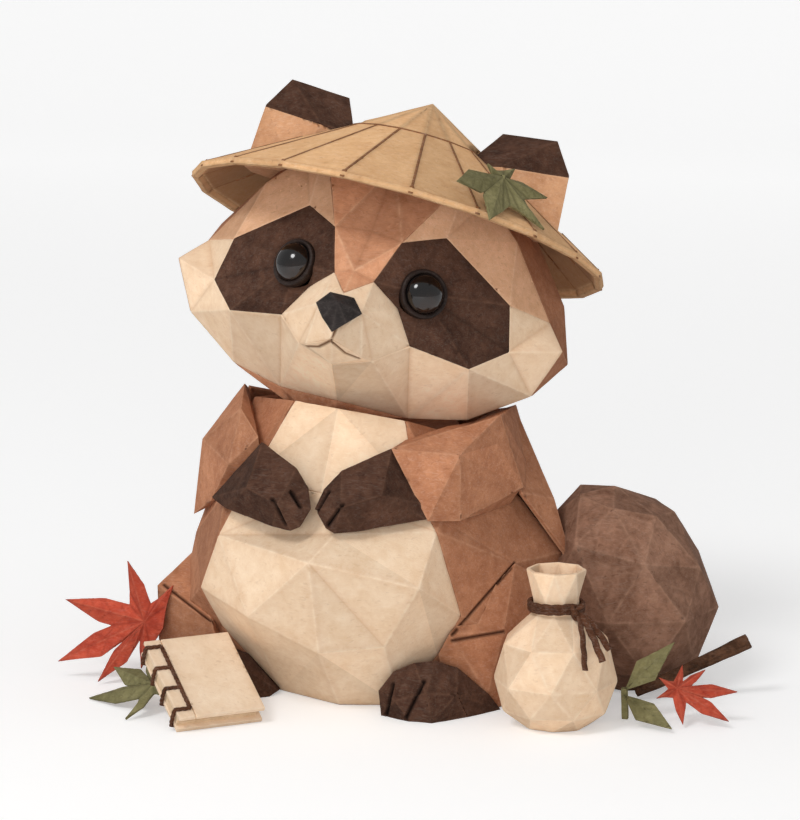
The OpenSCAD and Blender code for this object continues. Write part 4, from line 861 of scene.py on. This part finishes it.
# %% Bars laid by Geometry Nodes
def make_bar_tree():
    tree = bpy.data.node_groups.new("laid_bars", "GeometryNodeTree")
    tree.is_modifier = True
    face = tree.interface
    face.new_socket("Geometry", in_out="INPUT", socket_type="NodeSocketGeometry")
    face.new_socket("Corners", in_out="INPUT", socket_type="NodeSocketInt").default_value = 8
    face.new_socket("Unevenness", in_out="INPUT", socket_type="NodeSocketFloat").default_value = 0.1
    face.new_socket("Seed", in_out="INPUT", socket_type="NodeSocketInt").default_value = 1
    face.new_socket("Material", in_out="INPUT", socket_type="NodeSocketMaterial")
    face.new_socket("Geometry", in_out="OUTPUT", socket_type="NodeSocketGeometry")
    new = tree.nodes.new
    entry, leave = new("NodeGroupInput"), new("NodeGroupOutput")

    length = new("GeometryNodeCurvePrimitiveLine")
    length.inputs["Start"].default_value = (-0.5, 0, 0)
    length.inputs["End"].default_value = (0.5, 0, 0)
    part = math_node(tree, "DIVIDE", math.pi, entry.outputs["Corners"])
    reach = math_node(tree, "DIVIDE", 0.5, math_node(tree, "COSINE", part))
    ring = new("GeometryNodeCurvePrimitiveCircle")
    tree.links.new(entry.outputs["Corners"], ring.inputs["Resolution"])
    tree.links.new(reach, ring.inputs["Radius"])
    turn_node = new("ShaderNodeCombineXYZ")
    tree.links.new(part, turn_node.inputs["Z"])
    turned = new("GeometryNodeTransform")
    tree.links.new(ring.outputs["Curve"], turned.inputs["Geometry"])
    tree.links.new(turn_node.outputs[0], turned.inputs["Rotation"])
    bar = new("GeometryNodeCurveToMesh")
    bar.inputs["Fill Caps"].default_value = True
    tree.links.new(length.outputs["Curve"], bar.inputs["Curve"])
    tree.links.new(turned.outputs["Geometry"], bar.inputs["Profile Curve"])

    aim = new("GeometryNodeInputNamedAttribute")
    aim.data_type = "QUATERNION"
    aim.inputs["Name"].default_value = "aim"
    size = new("GeometryNodeInputNamedAttribute")
    size.data_type = "FLOAT_VECTOR"
    size.inputs["Name"].default_value = "size"
    lot = new("FunctionNodeRandomValue")
    lot.data_type = "FLOAT"
    tree.links.new(math_node(tree, "SUBTRACT", 1.0, entry.outputs["Unevenness"]), lot.inputs["Min"])
    tree.links.new(math_node(tree, "ADD", 1.0, entry.outputs["Unevenness"]), lot.inputs["Max"])
    tree.links.new(entry.outputs["Seed"], lot.inputs["Seed"])
    scaled = new("ShaderNodeVectorMath")
    scaled.operation = "MULTIPLY"
    uneven = new("ShaderNodeCombineXYZ")
    uneven.inputs["X"].default_value = 1
    uneven.inputs["Z"].default_value = 1
    tree.links.new(lot.outputs["Value"], uneven.inputs["Y"])
    tree.links.new(size.outputs["Attribute"], scaled.inputs[0])
    tree.links.new(uneven.outputs[0], scaled.inputs[1])
    laid_out = new("GeometryNodeInstanceOnPoints")
    tree.links.new(entry.outputs["Geometry"], laid_out.inputs["Points"])
    tree.links.new(bar.outputs["Mesh"], laid_out.inputs["Instance"])
    tree.links.new(aim.outputs["Attribute"], laid_out.inputs["Rotation"])
    tree.links.new(scaled.outputs[0], laid_out.inputs["Scale"])
    real = new("GeometryNodeRealizeInstances")
    painted_bars = new("GeometryNodeSetMaterial")
    tree.links.new(laid_out.outputs["Instances"], real.inputs["Geometry"])
    tree.links.new(real.outputs["Geometry"], painted_bars.inputs["Geometry"])
    tree.links.new(entry.outputs["Material"], painted_bars.inputs["Material"])
    tree.links.new(painted_bars.outputs["Geometry"], leave.inputs["Geometry"])
    return tree


bar_tree = make_bar_tree()


def laid_bars(name, bars, material, corners=8, unevenness=0.1, seed=1):
    """bars: (start, end, width, thickness, direction the bar's face looks)."""
    mesh = bpy.data.meshes.new(name + "_places")
    mesh.from_pydata([(Vector(a) + Vector(b)) / 2 for a, b, *_ in bars], [], [])
    aims, sizes = [], []
    for start, end, width, thick, facing in bars:
        run = Vector(end) - Vector(start)
        along = run.normalized()
        side = Vector(facing).cross(along).normalized()
        aims.extend(Matrix((along, side, along.cross(side))).transposed().to_quaternion())
        sizes.extend((run.length, width, thick))
    mesh.attributes.new("aim", "QUATERNION", "POINT").data.foreach_set("value", aims)
    mesh.attributes.new("size", "FLOAT_VECTOR", "POINT").data.foreach_set("vector", sizes)
    places = bpy.data.objects.new(name + "_places", mesh)
    bpy.context.scene.collection.objects.link(places)
    modifier = places.modifiers.new("bars", "NODES")
    modifier.node_group = bar_tree
    sockets = {s.name: s.identifier for s in bar_tree.interface.items_tree if s.in_out == "INPUT"}
    modifier[sockets["Corners"]] = corners
    modifier[sockets["Unevenness"]] = unevenness
    modifier[sockets["Seed"]] = seed
    modifier[sockets["Material"]] = material
    graph = bpy.context.evaluated_depsgraph_get()
    graph.update()
    result = bpy.data.meshes.new_from_object(places.evaluated_get(graph), depsgraph=graph)
    bpy.data.objects.remove(places)
    result.name = name
    result.polygons.foreach_set("use_smooth", [corners > 4] * len(result.polygons))
    bars_object = bpy.data.objects.new(name, result)
    bpy.context.scene.collection.objects.link(bars_object)
    print(name, "bars:", len(bars), "faces:", len(result.polygons))
    return bars_object

# %% [markdown]
# The sedge hat has twenty flat panels. Its solid is a round cone with slots for the ears, so a
# copy is cut along the twenty rib lines and every point is drawn in to the straight chord
# between its two ribs. Near the point, a seam laid across the panels marks off the cap.

# %% Hat panels
hat_apex = Vector((8.337, 19.293, 110.991)) * MM
hat_up = Vector((0.1772, 0.3518, 0.9192)).normalized()
hat_across = (Vector((1, 0, 0)) - hat_up * hat_up.x).normalized()
hat_along = hat_up.cross(hat_across)
hat_reach = 41.3 * MM
hat_height = 25.8 * MM
panels = 20
panel_deg = 360 / panels
first_rib_deg = -90


def chord_share(angle_deg):
    off = (angle_deg - first_rib_deg) % panel_deg - panel_deg / 2
    return math.cos(math.radians(panel_deg / 2)) / math.cos(math.radians(off))


def hat_out(angle_deg):
    a = math.radians(angle_deg)
    return hat_across * math.cos(a) + hat_along * math.sin(a)


def on_hat(share, angle_deg, lift=0.0):
    """A point on the hat's outside, share 0 at the apex and 1 at the rim."""
    out = hat_out(angle_deg)
    face = (out * hat_height + hat_up * hat_reach).normalized()
    reach = share * hat_reach * chord_share(angle_deg)
    return hat_apex + out * reach - hat_up * (share * hat_height) + face * lift


def into_panels(bm):
    for k in range(panels // 2):
        across_rib = hat_out(first_rib_deg + k * panel_deg + 90)
        bmesh.ops.bisect_plane(bm, geom=bm.verts[:] + bm.edges[:] + bm.faces[:], dist=1e-7,
                               plane_co=hat_apex, plane_no=across_rib)
    for v in bm.verts:
        away = v.co - hat_apex
        drop = away.dot(hat_up)
        out = away - hat_up * drop
        angle = math.degrees(math.atan2(out.dot(hat_along), out.dot(hat_across)))
        v.co = hat_apex + hat_up * drop + out * chord_share(angle)
    bmesh.ops.remove_doubles(bm, verts=bm.verts, dist=weld_mm * MM)
    bmesh.ops.dissolve_limit(bm, angle_limit=math.radians(2.2), verts=bm.verts, edges=bm.edges)
    return bm


hat_piece = dress(into_panels(whole_facets("hat_cone")), "hat_panels", "hat", "straw", "straw_paper",
                  ("hat_cone",), 70, radius=0.12, step=1.2, depth=0.06, patch=5.0, tone=1.2)
dress(into_panels(whole_facets("hat_rim")), "hat_rim_folded", "hat", "straw", "straw_paper",
      ("hat_rim",), 71, radius=0.15, step=1.2, depth=0.04, patch=4.0, tone=0.8)

# The hat's downward faces get the straw's dark shade colour: a painted shadow under the brim.
under = np.array([max(0.0, -p.normal.dot(hat_up)) for p in hat_piece.data.vertices])
shade = np.zeros(len(under), dtype=np.float32)
hat_piece.data.attributes["shade"].data.foreach_get("value", shade)
hat_piece.data.attributes["shade"].data.foreach_set(
    "value", np.maximum(shade, np.where(under > 0.3, 0.72, 0)).astype(np.float32))
print("hat panel triangles:", len(hat_piece.data.polygons))

# %% [markdown]
# The ribs are laid on those panels. Each stops where the hat does, at the ears' slots: sample
# points along the rib keep only the stretches that have paper under them.

# %% Hat ribs and seams
hat_paper = BVHTree.FromPolygons([v.co for v in hat_piece.data.vertices],
                                 [tuple(p.vertices) for p in hat_piece.data.polygons])
rib_w, rib_t = 0.42 * MM, 0.16 * MM
cap_share, rib_from, rib_to = 0.38, 0.385, 0.985


def stretches(point_at, low, high, steps=60, reach=0.45 * MM):
    """The parts of a line, as (start, end) points, that lie on the hat's paper."""
    runs, start, last = [], None, None
    for i in range(steps + 1):
        point = point_at(low + (high - low) * i / steps)
        near = hat_paper.find_nearest(point)
        held = near[0] is not None and near[3] < reach
        if held and start is None:
            start = point
        if not held and start is not None:
            runs.append((start, last))
            start = None
        last = point
    if start is not None:
        runs.append((start, last))
    return [(a, b) for a, b in runs if (b - a).length > 0.6 * MM]


bars = []
for k in range(panels):
    angle = first_rib_deg + k * panel_deg
    face = (hat_out(angle) * hat_height + hat_up * hat_reach).normalized()
    for start, end in stretches(lambda share: on_hat(share, angle, 0.03 * MM), rib_from, rib_to):
        bars.append((start, end, rib_w, rib_t, face))
    one, two = (on_hat(cap_share, angle + turn_by, 0.05 * MM) for turn_by in (0, panel_deg))
    face = (hat_out(angle + panel_deg / 2) * hat_height + hat_up * hat_reach).normalized()
    for start, end in stretches(lambda share: one.lerp(two, share), 0.0, 1.0, 20):
        bars.append((start, end, rib_w * 1.1, rib_t * 1.3, face))
# The ribs and the seam are dark bars: painted shadow lines between overlapping panels.
ribs = laid_bars("hat_ribs", bars, finish["rib"], corners=8, unevenness=0.18, seed=3)
settle(ribs, "hat", "straw_paper")

# %% [markdown]
# The rim is bound on with a stitch at each rib, and under the brim the panels are held by
# short bars. A ray sent up from below finds the paper that each bar lies against.

# %% Rim stitches
bars = []
for k in range(panels):
    angle = first_rib_deg + k * panel_deg
    out = hat_out(angle)
    top = on_hat(rib_to, angle, 0.12 * MM)
    low = hat_apex + out * (hat_reach + 0.12 * MM) - hat_up * (hat_height + 0.95 * MM)
    bars.append((top, low, 0.85 * MM, 0.22 * MM, out))
    for share in (0.34, 0.52, 0.70, 0.88):
        start = hat_apex + out * (share * hat_reach) - hat_up * (hat_height + 12 * MM)
        hit = hat_paper.ray_cast(start, hat_up)[0]
        ahead = hat_paper.ray_cast(start + out * (0.15 * hat_reach), hat_up)[0]
        if hit is not None and ahead is not None and (ahead - hit).length < 0.25 * hat_reach:
            bars.append((hit, ahead, 0.5 * MM, 0.35 * MM, -hat_up))
stitches = laid_bars("hat_rim_stitches", bars, finish["rib"], corners=6, unevenness=0.2, seed=5)
settle(stitches, "hat", "straw_paper")

# %% [markdown]
# The leaves are pleated scraps of coloured paper. They are dressed like the big sheets, with
# side veins pressed in along every long ridge.

# %% Leaves and twig
leaf_sheets = {"hat_leaf": ("hat", "green"), "green_leaf_left": ("body", "green"),
               "green_leaves_right": ("body", "green"), "red_leaf": ("body", "red"),
               "small_red_leaf": ("body", "red")}
for seed, (node, (body, sheet)) in enumerate(leaf_sheets.items()):
    piece = fold_piece(node, body, sheet, 80 + seed, radius=0.06, step=0.55, depth=0.05, patch=3.0,
                       worn=0.4, tone=1.2, veins=True)
    print(node, "triangles:", len(piece.data.polygons))

# %% [markdown]
# A twig's bark shrinks into ridges along it, with a lump where a bud was. One noise is read
# round the twig for the ridges, another along it for the lumps, and both push the surface in.

# %% Twig
def bark_ridges(bm):
    """Lengthwise ridges and a knot or two along a twig."""
    points = points_of(bm)
    along = Vector(np.linalg.svd(points - points.mean(axis=0), full_matrices=False)[2][0])
    bm.normal_update()
    for v in bm.verts:
        run = v.co.dot(along)
        round_place = v.co - along * run
        ridge = noise.noise(round_place / (0.55 * MM) + along * run / (5 * MM))
        lump = noise.noise(along * run / (3.1 * MM) + Vector((4.2, 0, 0)))
        v.co -= v.normal * (0.14 * MM * (ridge + 0.6) + 0.10 * MM * (lump + 0.5))


bm = whole_facets("twig")
round_creases(bm, 0.25 * MM)
cut_fine(bm, 0.4 * MM)
bark_ridges(bm)
crest = [0.5 + 0.5 * noise.noise(v.co / (0.6 * MM)) for v in bm.verts]
settle(as_piece(bm, "twig_bark", finish["bark"], {"fold": crest}), "body", "bark", "twig")

# %% [markdown]
# The tie and the ledger's thread are twisted from three strands. A cord is swept along its
# path with a three-lobed section that turns as it goes, so the strands are in the shape
# itself and not only in the finish.

# %% Twisted cord
def smooth_path(stops, step):
    """Points at even steps along a curve through all the stops."""
    stops = [Vector(s) for s in stops]
    ends = [2 * stops[0] - stops[1]] + stops + [2 * stops[-1] - stops[-2]]
    line = []
    for i in range(1, len(ends) - 2):
        a, b, c, d = ends[i - 1:i + 3]
        for k in range(12):
            t = k / 12
            line.append(0.5 * (2 * b + (c - a) * t + (2 * a - 5 * b + 4 * c - d) * t * t
                               + (3 * b - a - 3 * c + d) * t ** 3))
    line.append(stops[-1])
    even, left = [line[0]], step
    for one, two in zip(line, line[1:]):
        run = (two - one).length
        while run >= left:
            one = one.lerp(two, left / run)
            even.append(one.copy())
            run -= left
            left = step
        left -= run
    return even


def twist_cord(bm, stops, radius, flat=1.0, lay=2.0 * MM, strands=3, sides=15):
    """Sweeps a twisted cord along the stops. flat below 1 presses it into a strap."""
    path = smooth_path(stops, radius * 0.45)
    side = (path[1] - path[0]).orthogonal().normalized()
    rows, run = [], 0.0
    for i, point in enumerate(path):
        way = (path[min(i + 1, len(path) - 1)] - path[max(i - 1, 0)]).normalized()
        side = (side - way * side.dot(way)).normalized()
        rise_way = way.cross(side)
        run += (point - path[i - 1]).length if i else 0
        rows.append([])
        for k in range(sides):
            a = math.tau * k / sides
            r = radius * (1 + 0.15 * math.cos(strands * (a - math.tau * run / lay / strands)))
            out = side * r * math.cos(a) + rise_way * r * flat * math.sin(a)
            rows[-1].append(bm.verts.new(point + out))
    for one, two in zip(rows, rows[1:]):
        for k in range(sides):
            n = (k + 1) % sides
            bm.faces.new((one[k], one[n], two[n], two[k]))
    bm.faces.new(rows[0][::-1])
    bm.faces.new(rows[-1])


def cord_piece(bm, name):
    bmesh.ops.recalc_face_normals(bm, faces=bm.faces)
    bmesh.ops.triangulate(bm, faces=[f for f in bm.faces if len(f.verts) > 4])
    return as_piece(bm, name, finish["cord"], {})

# %% [markdown]
# The pouch is one folded sheet, drawn in at the neck. Its tie goes round three times and ends
# in a knot with three short ends. They are 8 to 12 mm long and stiff with wax, so they
# stand where they were bent.

# %% Pouch and its tie
fold_piece("bag_pouch", "bag", "cream", 90, radius=0.24, step=0.8, depth=0.07, patch=5.0)

bag_foot = Vector((43.12, -24.13, 0)) * MM
bag_h = 29.4 * MM
neck_reach = 4.4 * MM
tie_z = bag_h * (0.725 + 0.81) / 2
cord_r = 0.42 * MM
knot_deg = -38


def round_neck(angle_deg, reach, height):
    a = math.radians(angle_deg)
    return bag_foot + Vector((reach * math.cos(a), reach * math.sin(a), height))


bm = bmesh.new()
turns, parts = 3, 24
ring_reach = neck_reach + 0.1 * MM + cord_r
wound_h = 1.75 * MM
wind = [round_neck(knot_deg + 360 * i / parts, ring_reach, tie_z + (i / parts / turns - 0.5) * wound_h)
        for i in range(turns * parts + 1)]
twist_cord(bm, wind, cord_r)
settle(cord_piece(bm, "bag_tie_wound"), "bag", "cord", "bag_tie")

bm = bmesh.new()
knot_at = round_neck(knot_deg, neck_reach + 1.75 * MM, tie_z)
knot_out = (round_neck(knot_deg, 1, 0) - round_neck(knot_deg, 0, 0)).normalized()
knot_side = Vector((0, 0, 1)).cross(knot_out)
knot_size = 0.47 * MM
loop = []
for i in range(37):
    t = math.tau * i / 36
    loop.append(knot_at + knot_side * knot_size * (math.sin(t) + 2 * math.sin(2 * t))
                + Vector((0, 0, 1)) * knot_size * (math.cos(t) - 2 * math.cos(2 * t))
                - knot_out * knot_size * 1.1 * math.sin(3 * t))
twist_cord(bm, loop, cord_r * 1.1)
for turn_by, reach, drop in ((-14, 6.4, 9.6), (2, 7.1, 8.4), (16, 6.2, 6.8)):
    far = round_neck(knot_deg + turn_by, neck_reach + 1.35 * MM + reach * MM, tie_z - drop * MM)
    half = knot_at.lerp(far, 0.5) + Vector((0, 0, 0.55 * MM)) + knot_out * 0.35 * MM
    bend = knot_at.lerp(half, 0.4) + Vector((0, 0, 0.3 * MM))
    twist_cord(bm, [knot_at, bend, half, far], 0.62 * MM, flat=0.42, lay=3.2 * MM)
settle(cord_piece(bm, "bag_knot_tied"), "bag", "cord", "bag_knot")
print("tie length %.0f mm" % (sum((b - a).length for a, b in zip(wind, wind[1:])) / MM))

# %% [markdown]
# The ledger leans on its back edge. Its boards are stiff cream paper and its leaves a stack of
# thin sheets that never quite line up, which is what the bar tree is for.

# %% Ledger
boards = {"book_cover_front": "book_cover", "book_spine_strip": "book", "book_cover_back": "book"}
for seed, (node, body) in enumerate(boards.items()):
    fold_piece(node, body, "cover", 95 + seed, radius=0.12, step=0.9, depth=0.05, patch=7.0, worn=0.6)

book_corner = Vector((-22.8, -48.07, 0)) * MM
book_x = Vector((0.7604, 0.6494, 0.0))
book_y = Vector((-0.5624, 0.6585, 0.5))
book_z = Vector((0.3247, -0.3802, 0.8660))
book_w, book_h, cover_t, pages_t = 17 * MM, 20.8 * MM, 0.8 * MM, 2.0 * MM
inset = 0.05 * book_w
leaves = 11


def in_book(x, y, z):
    return book_corner + book_x * x + book_y * y + book_z * z


bars = []
leaf_t = pages_t / leaves
for i in range(leaves):
    z = cover_t + (i + 0.5) * leaf_t
    uneven = 0.22 * MM * noise.noise(Vector((i * 1.37, 2.2, 0)))
    start = in_book(0.15 * MM, book_h / 2, z)
    end = in_book(book_w - inset - 0.25 * MM + uneven, book_h / 2, z)
    bars.append((start, end, book_h - 2 * inset - 0.3 * MM, leaf_t * 0.93, book_z))
block = laid_bars("ledger_leaves", bars, finish["page"], corners=4, unevenness=0.008, seed=7)
settle(block, "book", "page_paper", "book_pages")

# %% [markdown]
# The binding thread runs down the front beside the spine and goes round it at four holes.

# %% Binding thread
bm = bmesh.new()
thread_r = 0.36 * MM
front = 2 * cover_t + pages_t + thread_r * 0.6
line_x = 3.2 * MM * 0.85
holes = [share * book_h for share in (0.10, 0.37, 0.63, 0.90)]
thread_lay = 1.2 * MM
back = -thread_r * 0.6
long_stitch = [in_book(line_x, y, front) for y in (holes[0], book_h / 2, holes[3])]
twist_cord(bm, long_stitch, thread_r, lay=thread_lay)
for y in holes:
    route = [(line_x, front), (line_x * 0.4, front), (0.1 * MM, front), (-thread_r, front - 0.3 * MM),
             (-thread_r, 0.3 * MM), (0.1 * MM, back), (line_x, back)]
    twist_cord(bm, [in_book(x, y, z) for x, z in route], thread_r, lay=thread_lay)
settle(cord_piece(bm, "ledger_thread"), "book", "cord", "book_thread")
print("ledger leaves:", leaves, "holes:", len(holes))
